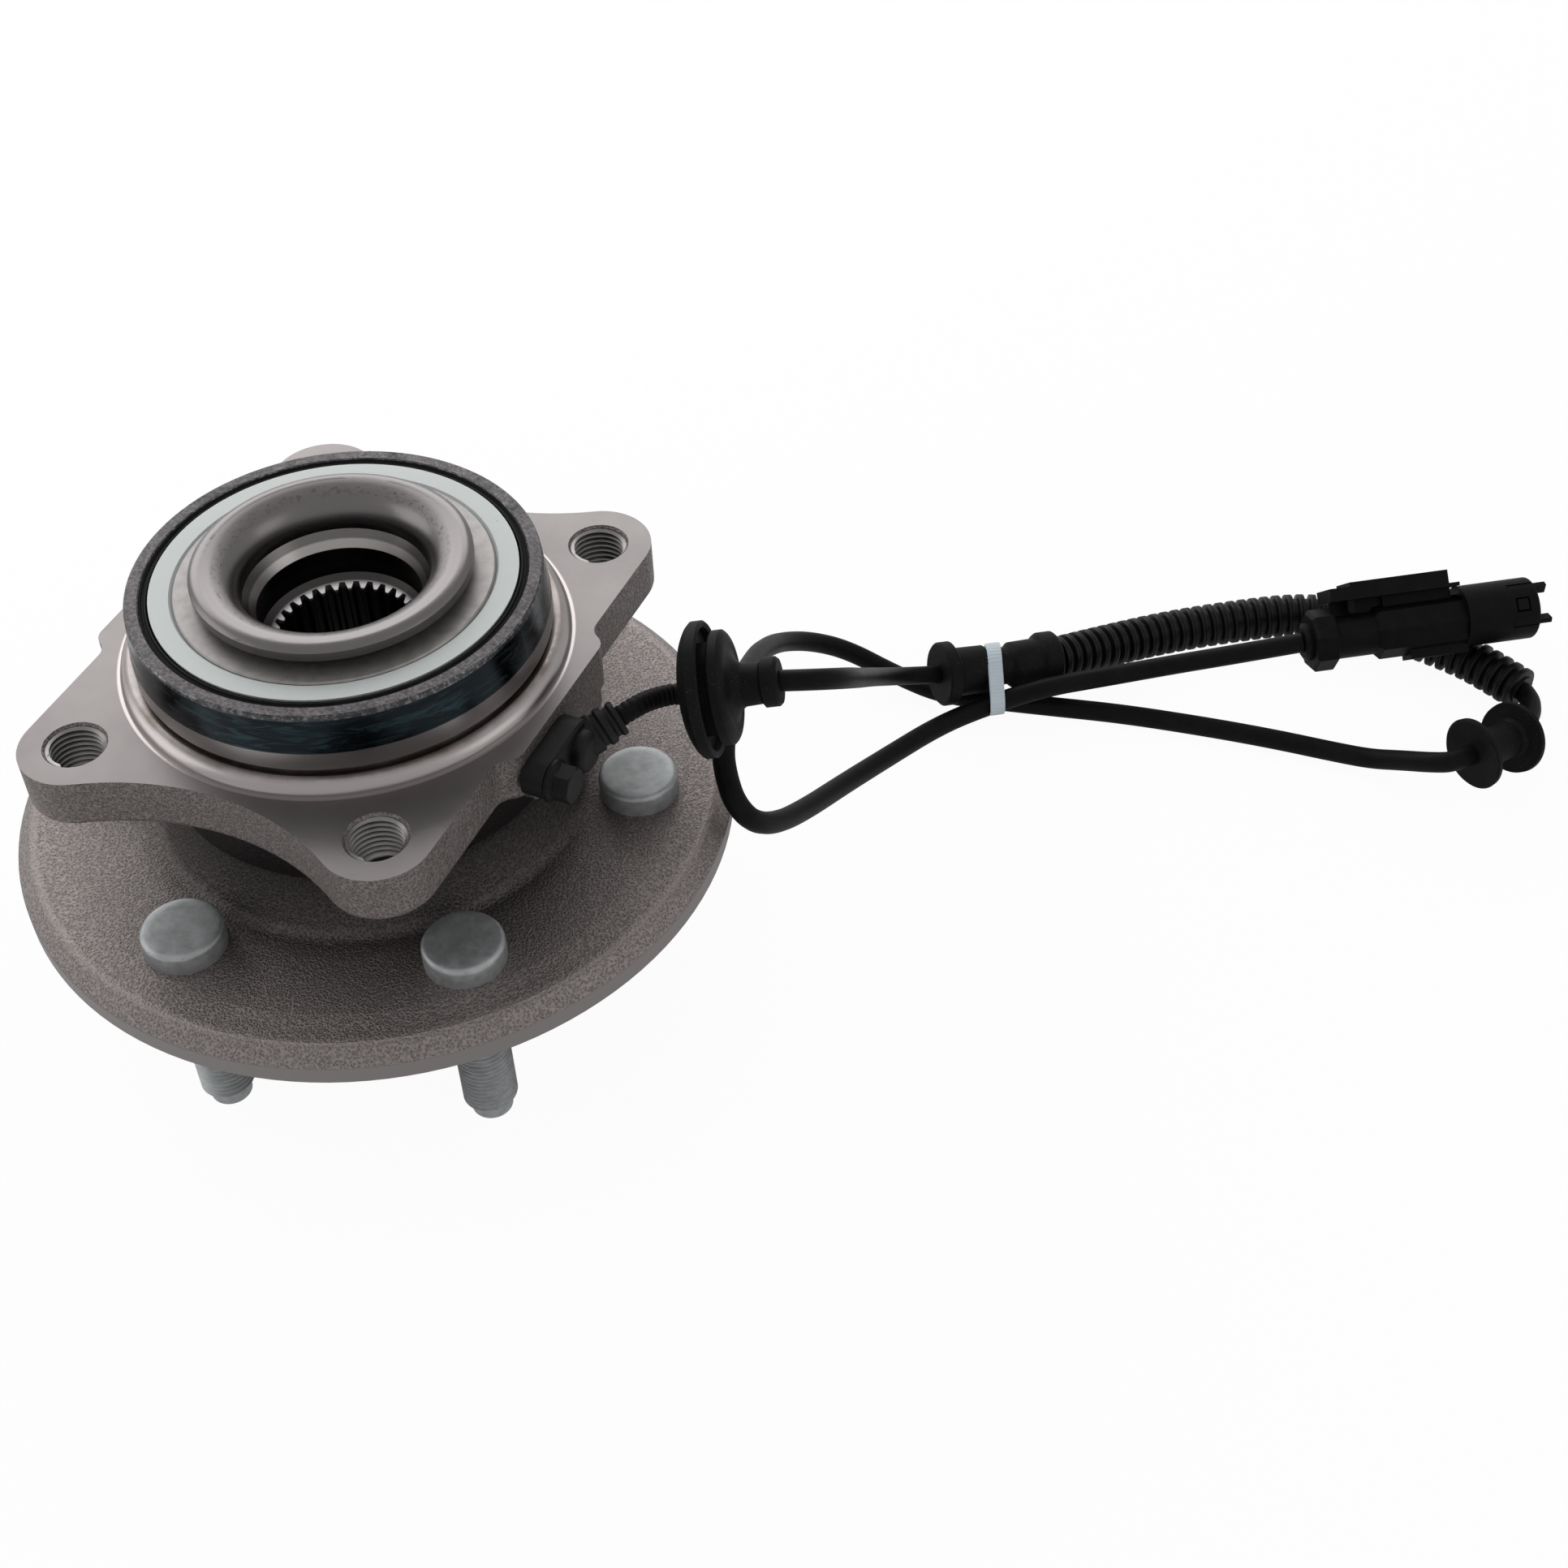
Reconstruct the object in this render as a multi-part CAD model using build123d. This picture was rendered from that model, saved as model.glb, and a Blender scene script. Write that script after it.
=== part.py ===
from build123d import *
import os
from math import asin, atan2, cos, degrees, pi, radians, sin, sqrt, tan

# Wheel hub bearing with speed sensor and harness, in millimetres.
# Z is the wheel axis. The wheel mounting face lies in Z = 0, the wheel is below it and the
# vehicle above it. The sensor is on the +X side. Standing on its studs, the unit meets the
# floor at the stud tips.

# Clearances
press_gap = 0.02  # pressed and clamped seats
run_gap = 0.3  # round pieces that turn past each other

# Wheel flange of the hub
flange_r = 90.75
flange_band = 5.4  # machined band at the rim
flange_crest_r = 86.6
flange_crest_z = 9.7
flange_t = 10.0  # at the stud circle
flange_chamfer = 1.0
shoulder_r = 53.0
shoulder_z = 12.3
neck_r = 48.0
neck_z = 22.0

# Wheel studs
stud_count = 6
stud_circle_r = 67.5
stud_first_angle = 18.2
stud_r = 6.95
stud_knurl_r = 7.15  # where it is pressed into the flange
stud_head_r = 10.0
stud_head_h = 6.0
stud_tip_z = -46.5
stud_tip_r = 5.2
stud_tip_len = 4.5

# Wheel side of the hub
wheel_pilot_r = 43.5
wheel_pilot_len = 14.0
nut_recess_r = 32.0
nut_seat_z = 8.0

# Splined bore
spline_teeth = 32
spline_minor_r = 16.45
spline_major_r = 17.8
spline_start_z = 16.0
spline_len = 43.0
relief_r = 18.3

# Barrel end, rolled lip and bell mouth
end_z = 76.6  # end face of the barrel and of the inner ring
lip_h = 5.6
lip_side_r = 33.2
lip_foot_r = 31.0
lip_crest_r = 29.8
mouth_r = 22.2
bore_r = 19.7
bore_top = 7.6  # from the end face down to the bore
bore_len = 7.5

# Bearing
ball_r = 6.35
ball_count = 13
pitch_r = 38.55
row_inset = 13.6  # from the end face to the inboard row
row_space = 28.7
journal_r = 27.75
outer_land_h = 3.45  # from the pitch circle out to the lands of the outer ring
inner_shoulder_h = 1.95  # from the pitch circle in to the high inner shoulders
inner_low_h = 5.15  # from the pitch circle in to the low inner shoulders
seat_step = 0.3  # from the groove root out to the seal seats
seal_land_r = 37.9
tone_ring_t = 4.0  # from its seat on the hub out to its face
tone_gap = 4.0  # from the lands of the outer ring in to the tone ring
tone_ring_w = 7.0
tone_teeth = 48
tone_tooth_h = 1.6

# Outer ring, barrel and mounting plate
nose_z = 24.6
nose_wall = 4.1  # round the outboard seal
barrel_r = 49.9
barrel_lead_r = 48.9
barrel_band = 5.2
undercut_depth = 1.3
bead_r = 54.0
bead_top_r = 50.5
plate_top_z = 56.5
plate_t = 13.5
ear_r = 13.3
bolt_x = 40.0
bolt_y = 55.0
bolt_hole_r = 7.0
bolt_mouth_r = 7.6
waist_y = 57.5
boss_x = 57.9
boss_half = 19.0
boss_drop = 4.4

# Speed sensor
sensor_z = 46.5
probe_y = -4.5
probe_r = 5.8
probe_air_gap = 0.8
screw_y = -18.0
sensor_lobe_r = 7.0
screw_lobe_r = 4.8
sensor_flange_t = 6.0
screw_r = 3.0
screw_head_r = 4.6
screw_head_h = 5.6
screw_reach = 11.0
bush_wall = 0.8
ring_cord_r = 1.1
o_ring_z = -5.9
neck_axis = Vector(0.60, 0.74, 0.30).normalized()
neck_out = 5.6
neck_side = 3.3
neck_up = 0.3
neck_len = 9.5
neck_cable_r = 4.9

# Harness
lead_r = 2.6  # of the sensor's lead, and of the cable on to the sleeve
cable_r = 2.9
conduit_r = 6.4
cup_r = 16.5
disc_r = 13.8
grommet_neck_r = 5.2
sleeve_collar_r = 9.3
sleeve_r = 6.9
sleeve_waist = 1.4
sleeve_len = 37.0
spool_flange_r = 10.35
spool_neck_r = 5.25
spool_flange_t = 1.7
spool_half = 10.1
tie_w = 4.7
tie_t = 1.0
strand_gap = 0.35  # between the tie and the cables in it

# Connector, with heights along its axis
boot_z = 2.0
housing_z = 21.0
shroud_z = 47.7
mouth_z = 69.4
boot_disc_r = 9.0
boot_disc_t = 7.0
boot_barrel_r = 6.2
boot_wall = 1.2
seal_plug_len = 7.0
wire_r = 0.9
housing_r = 7.9
shroud_r = 9.0
shroud_wall = 1.4
shroud_lift = 1.3
shroud_depth = 18.5
rail_low = 10.2
rail_high = 15.2
rail_w = 11.0
rail_z = 8.4  # start of the rail along the connector
rail_step_z = 14.6  # where it steps up
rail_len = 35.8
rail_step = 1.2
rail_end_step = 3.9
pin_r = 1.15
pin_space = 6.0
arm_angles = (135, 213)  # of the lock arms, about the shroud
arm_w = 1.5
arm_reach = 3.3  # past the mouth
window_angle = 175
window_w = 4.2

# Worked out from the sizes above
race_r = ball_r + run_gap
seal_seat_r = pitch_r + race_r + seat_step
nose_r = seal_seat_r + nose_wall
undercut_r = barrel_r - undercut_depth
outer_land_r = pitch_r + outer_land_h
inner_shoulder_r = pitch_r - inner_shoulder_h
inner_low_r = pitch_r - inner_low_h
tone_ring_r = outer_land_r - tone_gap
tone_seat_r = tone_ring_r - tone_ring_t
cage_rim = race_r + 0.8  # from the row to the cage's closed rim
land_step = cage_rim + run_gap  # from the row to the seal lands
row_in = end_z - row_inset
row_out = row_in - row_space
plate_under_z = plate_top_z - plate_t
bush_r = screw_r + 0.15
barrel_z = boot_z + boot_disc_t
seal_depth = 5.4
spline_end_z = spline_start_z + spline_len
lip_top = end_z + lip_h

# Routes of the cable, chosen by hand from the photograph. Each is a list of corners.
grommet_back = Vector(80.0, 20.0, 49.2)
grommet_axis = Vector(0.926, 0.338, 0.178).normalized()
grommet_len = 23.0
neck_end = grommet_back + grommet_axis * grommet_len
neck_base = Vector(boss_x + neck_out, probe_y + neck_side, sensor_z + neck_up)

lead_route = [
    tuple(neck_base + neck_axis * neck_len),
    (71.3, 8.4, 50.7),
    (73.0, 12.4, 50.3),
    (75.0, 16.2, 49.2),
    (77.4, 18.9, 48.7),
    (80.12, 20.0, 48.6),
]

sleeve_start = Vector(105.5, 129.9, -28.8)
sleeve_axis = Vector(0.733, 0.665, -0.149).normalized()
sleeve_end = sleeve_start + sleeve_axis * sleeve_len

drop_route = [
    tuple(neck_end),
    (108.3, 30.3, 53.8),
    (112.3, 36.1, 50.6),
    (112.5, 43.1, 45.0),
    (109.9, 53.7, 35.3),
    (105.6, 68.0, 21.9),
    (100.9, 84.6, 6.6),
    (97.3, 100.9, -8.1),
    (96.3, 110.6, -16.5),
    (97.2, 118.3, -22.5),
    (99.9, 124.3, -26.4),
    tuple(sleeve_start),
]

conduit_route = [
    tuple(sleeve_end),
    (144.3, 170.2, -38.2),
    (160.7, 186.2, -40.0),
    (178.5, 198.4, -40.0),
    (192.0, 206.5, -40.0),
    (203.2, 210.0, -40.0),
    (215.2, 211.5, -40.0),
    (227.9, 209.6, -40.0),
    (240.5, 207.0, -40.0),
    (250.7, 203.6, -40.0),
    (262.8, 197.2, -40.0),
]

spool_axis = Vector(0.479, 0.844, -0.240).normalized()
spool_mid = Vector(259.25, 163.55, -33.4)
near_axis = Vector(0.595, 0.803, -0.044).normalized()  # of its nearer flange, which sits askew
spool_near = spool_mid - spool_axis * spool_half
spool_far = spool_mid + spool_axis * spool_half

elbow_route = [
    (262.8, 197.2, -40.0),
    (264.5, 195.3, -39.8),
    (266.2, 191.0, -39.3),
    (266.7, 185.5, -38.4),
    (265.6, 174.8, -36.6),
    tuple(spool_far),
]

connector_start = Vector(200.1, 177.3, -25.0)
connector_axis = Vector(0.8404, 0.5419, 0.0).normalized()
connector_roll = 45

loop_route = [
    tuple(spool_near),
    (250.7, 150.0, -30.7),
    (245.2, 148.9, -31.9),
    (236.0, 152.5, -37.5),
    (228.2, 155.0, -42.0),
    (218.5, 155.4, -43.3),
    (200.4, 154.3, -43.3),
    (181.0, 152.2, -43.3),
    (156.6, 148.6, -43.3),
    (137.2, 143.9, -43.0),
    (121.4, 138.9, -41.6),
    (104.4, 136.4, -42.6),
    (88.0, 139.6, -42.5),
    (73.9, 137.7, -35.8),
    (65.3, 130.4, -29.1),
    (61.0, 118.6, -21.0),
    (62.8, 103.0, -10.0),
    (67.4, 84.9, 2.1),
    (74.6, 59.5, 15.6),
    (80.2, 41.8, 22.6),
    (83.6, 30.2, 22.0),
    (87.0, 24.7, 18.8),
    (91.2, 20.3, 15.3),
    (95.4, 21.2, 9.3),
    (97.6, 30.9, 0.7),
    (98.2, 48.3, -10.1),
    (99.2, 71.9, -22.4),
    (103.0, 96.0, -32.2),
    (109.5, 116.0, -36.6),
    (117.3, 128.0, -37.4),
    (133.5, 139.1, -32.6),
    (149.7, 151.2, -33.0),
    (166.8, 161.8, -31.5),
    (184.7, 169.3, -27.5),
    tuple(connector_start),
]


def outline(*steps):
    """A flat face from points, where a step that is a pair of points is an arc through the first."""
    edges = []
    here = steps[0]
    for step in steps[1:] + (steps[0],):
        if isinstance(step[0], tuple):
            edges.append(ThreePointArc(here, step[0], step[1]))
            here = step[1]
        elif step != here:
            edges.append(Line(here, step))
            here = step
    return make_face(edges)


def turned(*steps):
    """A solid turned about Z from an outline of (radius, height) points."""
    return revolve(Plane.XZ * outline(*steps), Axis.Z)


def aimed(origin, axis, x_dir=None):
    """The place whose Z runs along an axis."""
    return Plane(origin=origin, x_dir=x_dir, z_dir=axis).location


def on_circle(radius, count, first=0.0):
    """Centres and angles spaced round the Z axis."""
    angles = [first + 360 / count * i for i in range(count)]
    return [(radius * cos(radians(a)), radius * sin(radians(a)), a) for a in angles]


def half_groove(radius):
    """Half the height of the ball groove where it meets a land of this radius."""
    return sqrt(race_r**2 - (radius - pitch_r) ** 2)


abut_z = row_out + half_groove(inner_low_r) + 2.7  # where the inner ring meets the hub's shoulder


def groove_mid(row, radius, side):
    """The middle of the groove's arc between its root and a land, above (1) or below (-1) the row."""
    root = 0 if radius > pitch_r else 180
    edge = degrees(atan2(half_groove(radius), radius - pitch_r))
    a = radians((root + edge) / 2)
    return (pitch_r + race_r * cos(a), row + side * race_r * sin(a))


def boss_place(y, up=0.0):
    """A place on the sensor boss, with Z pointing out of it."""
    return aimed((boss_x, y, sensor_z + up), (1, 0, 0), (0, 1, 0))


def screw_place():
    """Where the sensor's screw stands on the boss. Both lobes reach the same height."""
    return boss_place(screw_y, sensor_lobe_r - screw_lobe_r)


def plate_outline():
    """Outline of the mounting plate: four ears, two bosses and two waisted sides."""
    side_x = bolt_x + ear_r
    step = boss_x - side_x
    bend = step
    turn = radians(60)
    mid = (side_x + step / 2, boss_half + bend * sin(turn))
    low = (side_x, boss_half + 2 * bend * sin(turn))
    rise = waist_y - bolt_y
    waist_r = (bolt_x**2 + rise**2 - ear_r**2) / (2 * (ear_r - rise))
    centre_y = waist_y + waist_r
    reach = waist_r + ear_r
    joint = (bolt_x - ear_r * bolt_x / reach, bolt_y + ear_r * (centre_y - bolt_y) / reach)
    half_turn = asin(joint[0] / waist_r) / 2
    waist_mid = (waist_r * sin(half_turn), centre_y - waist_r * cos(half_turn))
    diagonal = ear_r * sqrt(0.5)
    quarter = [
        Line((boss_x, 0), (boss_x, boss_half)),
        TangentArc((boss_x, boss_half), mid, tangent=(0, 1)),
        TangentArc(mid, low, tangent=(-sin(turn), cos(turn))),
        Line(low, (side_x, bolt_y)),
        ThreePointArc((side_x, bolt_y), (bolt_x + diagonal, bolt_y + diagonal), (bolt_x, bolt_y + ear_r)),
        RadiusArc((bolt_x, bolt_y + ear_r), joint, -ear_r),
        ThreePointArc(joint, waist_mid, (0, waist_y)),
    ]
    half = quarter + [mirror(edge, Plane.YZ) for edge in quarter]
    return make_face(half + [mirror(edge, Plane.XZ) for edge in half])


def outer_ring():
    """Stationary ring: both outer raceways, barrel, mounting plate and sensor boss in one forging."""
    root_r = pitch_r + race_r
    rise = half_groove(outer_land_r)
    seat_top = end_z - seal_depth
    seat_low = nose_z + seal_depth - 2.2
    bead_h = 3.5
    cut_z = plate_top_z + bead_h
    band_z = cut_z + 1.1
    core = turned(
        (seal_seat_r, nose_z),
        (nose_r - 0.6, nose_z),
        (nose_r, nose_z + 0.6),
        (nose_r + 2.4, plate_under_z + 1),
        (bead_r, plate_top_z - 1),
        (bead_r, plate_top_z),
        ((bead_r - 1.0, plate_top_z + 2.3), (bead_top_r, cut_z)),
        (undercut_r, cut_z),
        (undercut_r, band_z - 0.3),
        (barrel_r - 0.3, band_z),
        (barrel_r, band_z + 0.3),
        (barrel_r, band_z + barrel_band),
        (barrel_lead_r, end_z - 0.4),
        (barrel_lead_r - 0.4, end_z),
        (seal_seat_r + 0.3, end_z),
        (seal_seat_r, end_z - 0.3),
        (seal_seat_r, seat_top),
        (root_r, seat_top),
        (root_r, row_in),
        (groove_mid(row_in, outer_land_r, -1), (outer_land_r, row_in - rise)),
        (outer_land_r, row_out + rise),
        (groove_mid(row_out, outer_land_r, 1), (root_r, row_out)),
        (root_r, seat_low),
        (seal_seat_r, seat_low),
    )
    plate = extrude(Pos(0, 0, plate_under_z) * plate_outline(), plate_t)
    plate = fillet(plate.faces().sort_by(Axis.Z)[0].edges(), 2.0)
    boss_depth = boss_x - nose_r + 4.5
    boss = Box(boss_depth, 2 * boss_half - 2, boss_drop + 3, align=(Align.MAX, Align.CENTER, Align.MAX))
    boss = fillet(boss.edges().filter_by(Axis.X).group_by(Axis.Z)[0], 3.0)
    plate += Pos(boss_x, 0, plate_under_z + 3) * boss
    plate -= extrude(Pos(0, 0, nose_z) * Circle(nose_r - 1.5), end_z)
    ring = core + plate
    for x in (-bolt_x, bolt_x):
        for y in (-bolt_y, bolt_y):
            hole = turned(
                (0, plate_under_z - 1),
                (bolt_hole_r, plate_under_z - 1),
                (bolt_hole_r, plate_top_z - (bolt_mouth_r - bolt_hole_r)),
                (bolt_mouth_r, plate_top_z),
                (bolt_mouth_r, plate_top_z + 1),
                (0, plate_top_z + 1),
            )
            ring -= Pos(x, y, 0) * hole
    probe_hole = Cylinder(probe_r + 0.2, boss_x - tone_ring_r, align=(Align.CENTER, Align.CENTER, Align.MAX))
    screw_hole = Cylinder(screw_r + 0.1, screw_reach + 0.6, align=(Align.CENTER, Align.CENTER, Align.MAX))
    ring -= boss_place(probe_y) * probe_hole
    ring -= screw_place() * screw_hole
    return ring


def spline_space():
    """One space between two spline teeth."""
    half_step = 180 / spline_teeth
    foot = spline_minor_r - 0.4
    wide = foot * sin(radians(half_step * 0.86))
    narrow = spline_major_r * sin(radians(half_step * 0.36))
    corners = [(foot, -wide), (spline_major_r, -narrow), (spline_major_r, narrow), (foot, wide)]
    face = make_face(Polyline(*corners, close=True))
    return extrude(Pos(0, 0, spline_start_z - 1) * face, spline_len + 3)


def hub_spindle():
    """Rotating forging: wheel flange, outboard raceway, journal, rolled lip, splined bore and pilot."""
    seal_floor = neck_z + 0.8
    low_z = row_out + half_groove(inner_low_r)
    high_z = row_out - half_groove(inner_shoulder_r)
    bell_z = lip_top - 8.1
    crest_mid = (flange_crest_r + stud_circle_r + stud_head_r) / 2
    body = turned(
        (spline_minor_r, spline_start_z),
        (relief_r, spline_start_z - 1.5),
        (relief_r, nut_seat_z),
        (nut_recess_r, nut_seat_z),
        (nut_recess_r, -wheel_pilot_len + 1),
        (nut_recess_r + 1, -wheel_pilot_len),
        (wheel_pilot_r - 2, -wheel_pilot_len),
        (wheel_pilot_r, -wheel_pilot_len + 3),
        (wheel_pilot_r, 0),
        (flange_r - flange_chamfer, 0),
        (flange_r, flange_chamfer),
        (flange_r, flange_band),
        (flange_crest_r + 0.8, flange_crest_z - 0.4),
        (flange_crest_r - 0.4, flange_crest_z),
        ((crest_mid, flange_t - 0.35), (stud_circle_r + stud_head_r + 0.6, flange_t)),
        (shoulder_r + 4.2, flange_t),
        ((shoulder_r + 1.7, flange_t + 0.5), (shoulder_r, shoulder_z)),
        (neck_r + 0.4, neck_z - 0.8),
        (neck_r - 1.2, seal_floor),
        (seal_land_r + 0.1, seal_floor),
        (seal_land_r + 0.1, row_out - land_step),
        (inner_shoulder_r, row_out - land_step),
        (inner_shoulder_r, high_z),
        (groove_mid(row_out, inner_shoulder_r, -1), (pitch_r - race_r, row_out)),
        (groove_mid(row_out, inner_low_r, 1), (inner_low_r, low_z)),
        (inner_low_r, abut_z),
        (journal_r, abut_z),
        (journal_r, end_z),
        (lip_foot_r, end_z),
        (lip_side_r, end_z + 2.4),
        (lip_side_r, lip_top - 1.0),
        ((lip_side_r - 0.9, lip_top - 0.3), (lip_crest_r, lip_top)),
        ((lip_crest_r - 5.4, lip_top - 2.4), (mouth_r, bell_z)),
        (mouth_r, end_z - 3.6),
        (bore_r, end_z - bore_top),
        (bore_r, end_z - bore_top - bore_len),
        (spline_minor_r, spline_end_z),
    )
    for x, y, a in on_circle(1, spline_teeth):
        body -= Rot(0, 0, a) * spline_space()
    stud_hole = Cylinder(stud_knurl_r + press_gap, 2 * flange_t)
    for x, y, a in on_circle(stud_circle_r, stud_count, stud_first_angle):
        body -= Pos(x, y, flange_t / 2) * stud_hole
    return body


def inner_ring():
    """Separate inboard inner ring, clamped between the hub's shoulder and the rolled lip."""
    low_z = row_in - half_groove(inner_low_r)
    high_z = row_in + half_groove(inner_shoulder_r)
    step_z = row_in + land_step
    tone_top = sensor_z + tone_ring_w / 2 + run_gap
    return turned(
        (journal_r + press_gap, abut_z + 0.6),
        (journal_r + 0.6, abut_z),
        (tone_seat_r - 0.4, abut_z),
        (tone_seat_r, abut_z + 0.4),
        (tone_seat_r, tone_top),
        (inner_low_r, tone_top + 0.6),
        (inner_low_r, low_z),
        (groove_mid(row_in, inner_low_r, -1), (pitch_r - race_r, row_in)),
        (groove_mid(row_in, inner_shoulder_r, 1), (inner_shoulder_r, high_z)),
        (inner_shoulder_r, step_z),
        (seal_land_r, step_z),
        (seal_land_r, end_z - 0.4),
        (seal_land_r - 0.4, end_z),
        (journal_r + press_gap, end_z),
    )


def ball_row(row, first):
    """One row of balls."""
    return [Pos(x, y, row) * Sphere(ball_r) for x, y, a in on_circle(pitch_r, ball_count, first)]


def cage(row, side, first):
    """Crown cage round one row of balls. Its closed rim is on the side given, 1 up or -1 down."""
    inner_r = inner_shoulder_r + run_gap + 0.1
    outer_r = outer_land_r - 2 * run_gap
    open_z = row - side * 1.5
    rim_z = row + side * cage_rim
    low, high = sorted((open_z, rim_z))
    body = turned((inner_r, low), (outer_r, low), (outer_r, high), (inner_r, high))
    for x, y, a in on_circle(pitch_r, ball_count, first):
        pocket = Cylinder(race_r, 3 * (outer_r - inner_r))
        body -= Pos(x, y, row) * Rot(0, 0, a) * Rot(0, 90, 0) * pocket
    return body


def tone_ring():
    """Toothed ring, pressed on the inner ring under the sensor's probe."""
    low = sensor_z - tone_ring_w / 2
    ring = turned(
        (tone_seat_r + press_gap, low),
        (tone_ring_r, low),
        (tone_ring_r, low + tone_ring_w),
        (tone_seat_r + press_gap, low + tone_ring_w),
    )
    gap_w = pi * tone_ring_r / tone_teeth
    slot = Box(2 * tone_tooth_h, gap_w, tone_ring_w + 1)
    for x, y, a in on_circle(tone_ring_r, tone_teeth):
        ring -= Pos(x, y, sensor_z) * Rot(0, 0, a) * slot
    return ring


def slinger_inboard():
    """Pressed steel slinger: the pale ring at the inboard end."""
    low = end_z - seal_depth
    top = end_z - 0.1
    seat = seal_land_r + press_gap
    return turned(
        (seat, low),
        (seat + 0.6, low),
        (seat + 0.6, top - 0.6),
        (seal_seat_r - 2.2, top - 0.6),
        (seal_seat_r - 2.2, top),
        (seat + 0.6, top),
        (seat, top - 0.5),
    )


def seal_case_inboard():
    """Pressed steel case of the inboard seal."""
    low = end_z - seal_depth
    seat = seal_seat_r - press_gap
    return turned(
        (seat - 4.5, low),
        (seat, low),
        (seat, low + 3.4),
        (seat - 0.8, low + 3.4),
        (seat - 0.8, low + 0.8),
        (seat - 4.5, low + 0.8),
    )


def seal_lip_inboard():
    """Rubber of the inboard seal: grooved rim at the top, a face lip and a radial lip."""
    low = end_z - seal_depth
    seat = seal_seat_r - press_gap
    wall = seat - 0.8
    sleeve = seal_land_r + press_gap + 0.6
    return turned(
        (wall, low + 0.8),
        (wall, low + 3.4),
        (seat, low + 3.4),
        (seat, end_z - 0.5),
        (seat - 0.4, end_z - 0.3),
        (seat - 0.7, end_z - 0.8),
        (seat - 1.0, end_z - 0.8),
        (seat - 1.3, end_z - 0.3),
        (seat - 1.7, end_z - 0.4),
        (seat - 1.7, low + 1.9),
        (sleeve + 2.7, low + 1.9),
        (sleeve + 1.9, low + 4.2),
        (sleeve + 1.5, low + 4.1),
        (sleeve + 1.6, low + 1.9),
        (sleeve + run_gap, low + 2.0),
        (sleeve + run_gap, low + 1.4),
        (sleeve + 1.6, low + 0.1),
        (seat - 4.5, low),
        (seat - 4.5, low + 0.8),
    )


def seal_case_outboard():
    """Pressed steel case of the seal at the wheel end."""
    low = nose_z + 0.3
    seat = seal_seat_r - press_gap
    return turned(
        (seat - 4.9, low),
        (seat, low),
        (seat, low + 2.8),
        (seat - 0.7, low + 2.8),
        (seat - 0.7, low + 0.7),
        (seat - 4.9, low + 0.7),
    )


def seal_lip_outboard():
    """Rubber of the seal at the wheel end."""
    low = nose_z + 0.3
    face = neck_z + 0.8 + run_gap
    seat = seal_seat_r - press_gap
    inner = seat - 4.9
    land = seal_land_r + 0.1 + run_gap
    return turned(
        (inner, low),
        (seat - 1.2, low),
        (seat - 1.2, low - 0.7),
        (seat - 3.0, low - 0.7),
        (seat - 3.6, face),
        (seat - 4.0, face),
        (seat - 3.9, low - 0.7),
        (land + 1.7, low - 0.7),
        (land, low - 0.5),
        (land, low + 0.1),
        (land + 1.4, low + 1.2),
        (inner, low + 0.9),
    )


def wheel_studs():
    """Six pressed-in wheel studs with round heads and plain pilot tips."""
    top = flange_t + stud_head_h
    stud = turned(
        (0, stud_tip_z),
        (stud_tip_r - 0.8, stud_tip_z),
        (stud_tip_r, stud_tip_z + 0.8),
        (stud_tip_r, stud_tip_z + stud_tip_len),
        (stud_r, stud_tip_z + stud_tip_len + 1.6),
        (stud_r, 0),
        (stud_knurl_r, 2 * (stud_knurl_r - stud_r)),
        (stud_knurl_r, flange_t),
        (stud_head_r, flange_t),
        (stud_head_r, top - 1.4),
        ((stud_head_r - 0.35, top - 0.45), (stud_head_r - 1.3, top)),
        (0, top),
    )
    return [Pos(x, y, 0) * stud for x, y, a in on_circle(stud_circle_r, stud_count, stud_first_angle)]


def sensor_body():
    """Moulded sensor: oblong flange on the boss, probe into the ring, ringed neck for the lead."""
    reach = boss_x - tone_ring_r - probe_air_gap
    rise = sensor_lobe_r - screw_lobe_r
    ends = [(probe_y, 0.0, sensor_lobe_r), (screw_y, rise, screw_lobe_r)]
    rings = [edge for y, up, r in ends for edge in (Pos(y, up) * Circle(r)).edges()]
    flange = boss_place(0) * extrude(make_hull(rings), sensor_flange_t)
    flange = chamfer(flange.faces().sort_by(Axis.X)[-1].edges(), 0.6)
    groove_w = 2.6
    groove_z = o_ring_z + groove_w / 2
    probe = turned(
        (0, 0),
        (probe_r, 0),
        (probe_r, groove_z),
        (probe_r - 2 * ring_cord_r, groove_z),
        (probe_r - 2 * ring_cord_r, groove_z - groove_w),
        (probe_r, groove_z - groove_w),
        (probe_r, -reach + 0.6),
        (probe_r - 0.6, -reach),
        (0, -reach),
    )
    dome_h = sensor_flange_t + 3.4
    dome = Cylinder(sensor_lobe_r - 1.6, dome_h, align=(Align.CENTER, Align.CENTER, Align.MIN))
    dome = fillet(dome.faces().sort_by(Axis.Z)[-1].edges(), 2.0)
    ring = 1.0
    neck = turned(
        (0, 0),
        (neck_cable_r, 0),
        (neck_cable_r, neck_len * 0.3),
        (neck_cable_r - ring * 0.7, neck_len * 0.36),
        (neck_cable_r - ring * 0.7, neck_len * 0.46),
        (neck_cable_r, neck_len * 0.52),
        (neck_cable_r - 0.2, neck_len * 0.68),
        (neck_cable_r - ring, neck_len * 0.74),
        (neck_cable_r - ring, neck_len * 0.82),
        (neck_cable_r - 0.4, neck_len * 0.88),
        (neck_cable_r - 0.5, neck_len),
        (0, neck_len),
    )
    body = flange + boss_place(probe_y) * (probe + dome)
    body += aimed(neck_base, neck_axis) * neck
    body -= screw_place() * Cylinder(bush_r + bush_wall + press_gap, 3 * sensor_flange_t)
    return body


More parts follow.
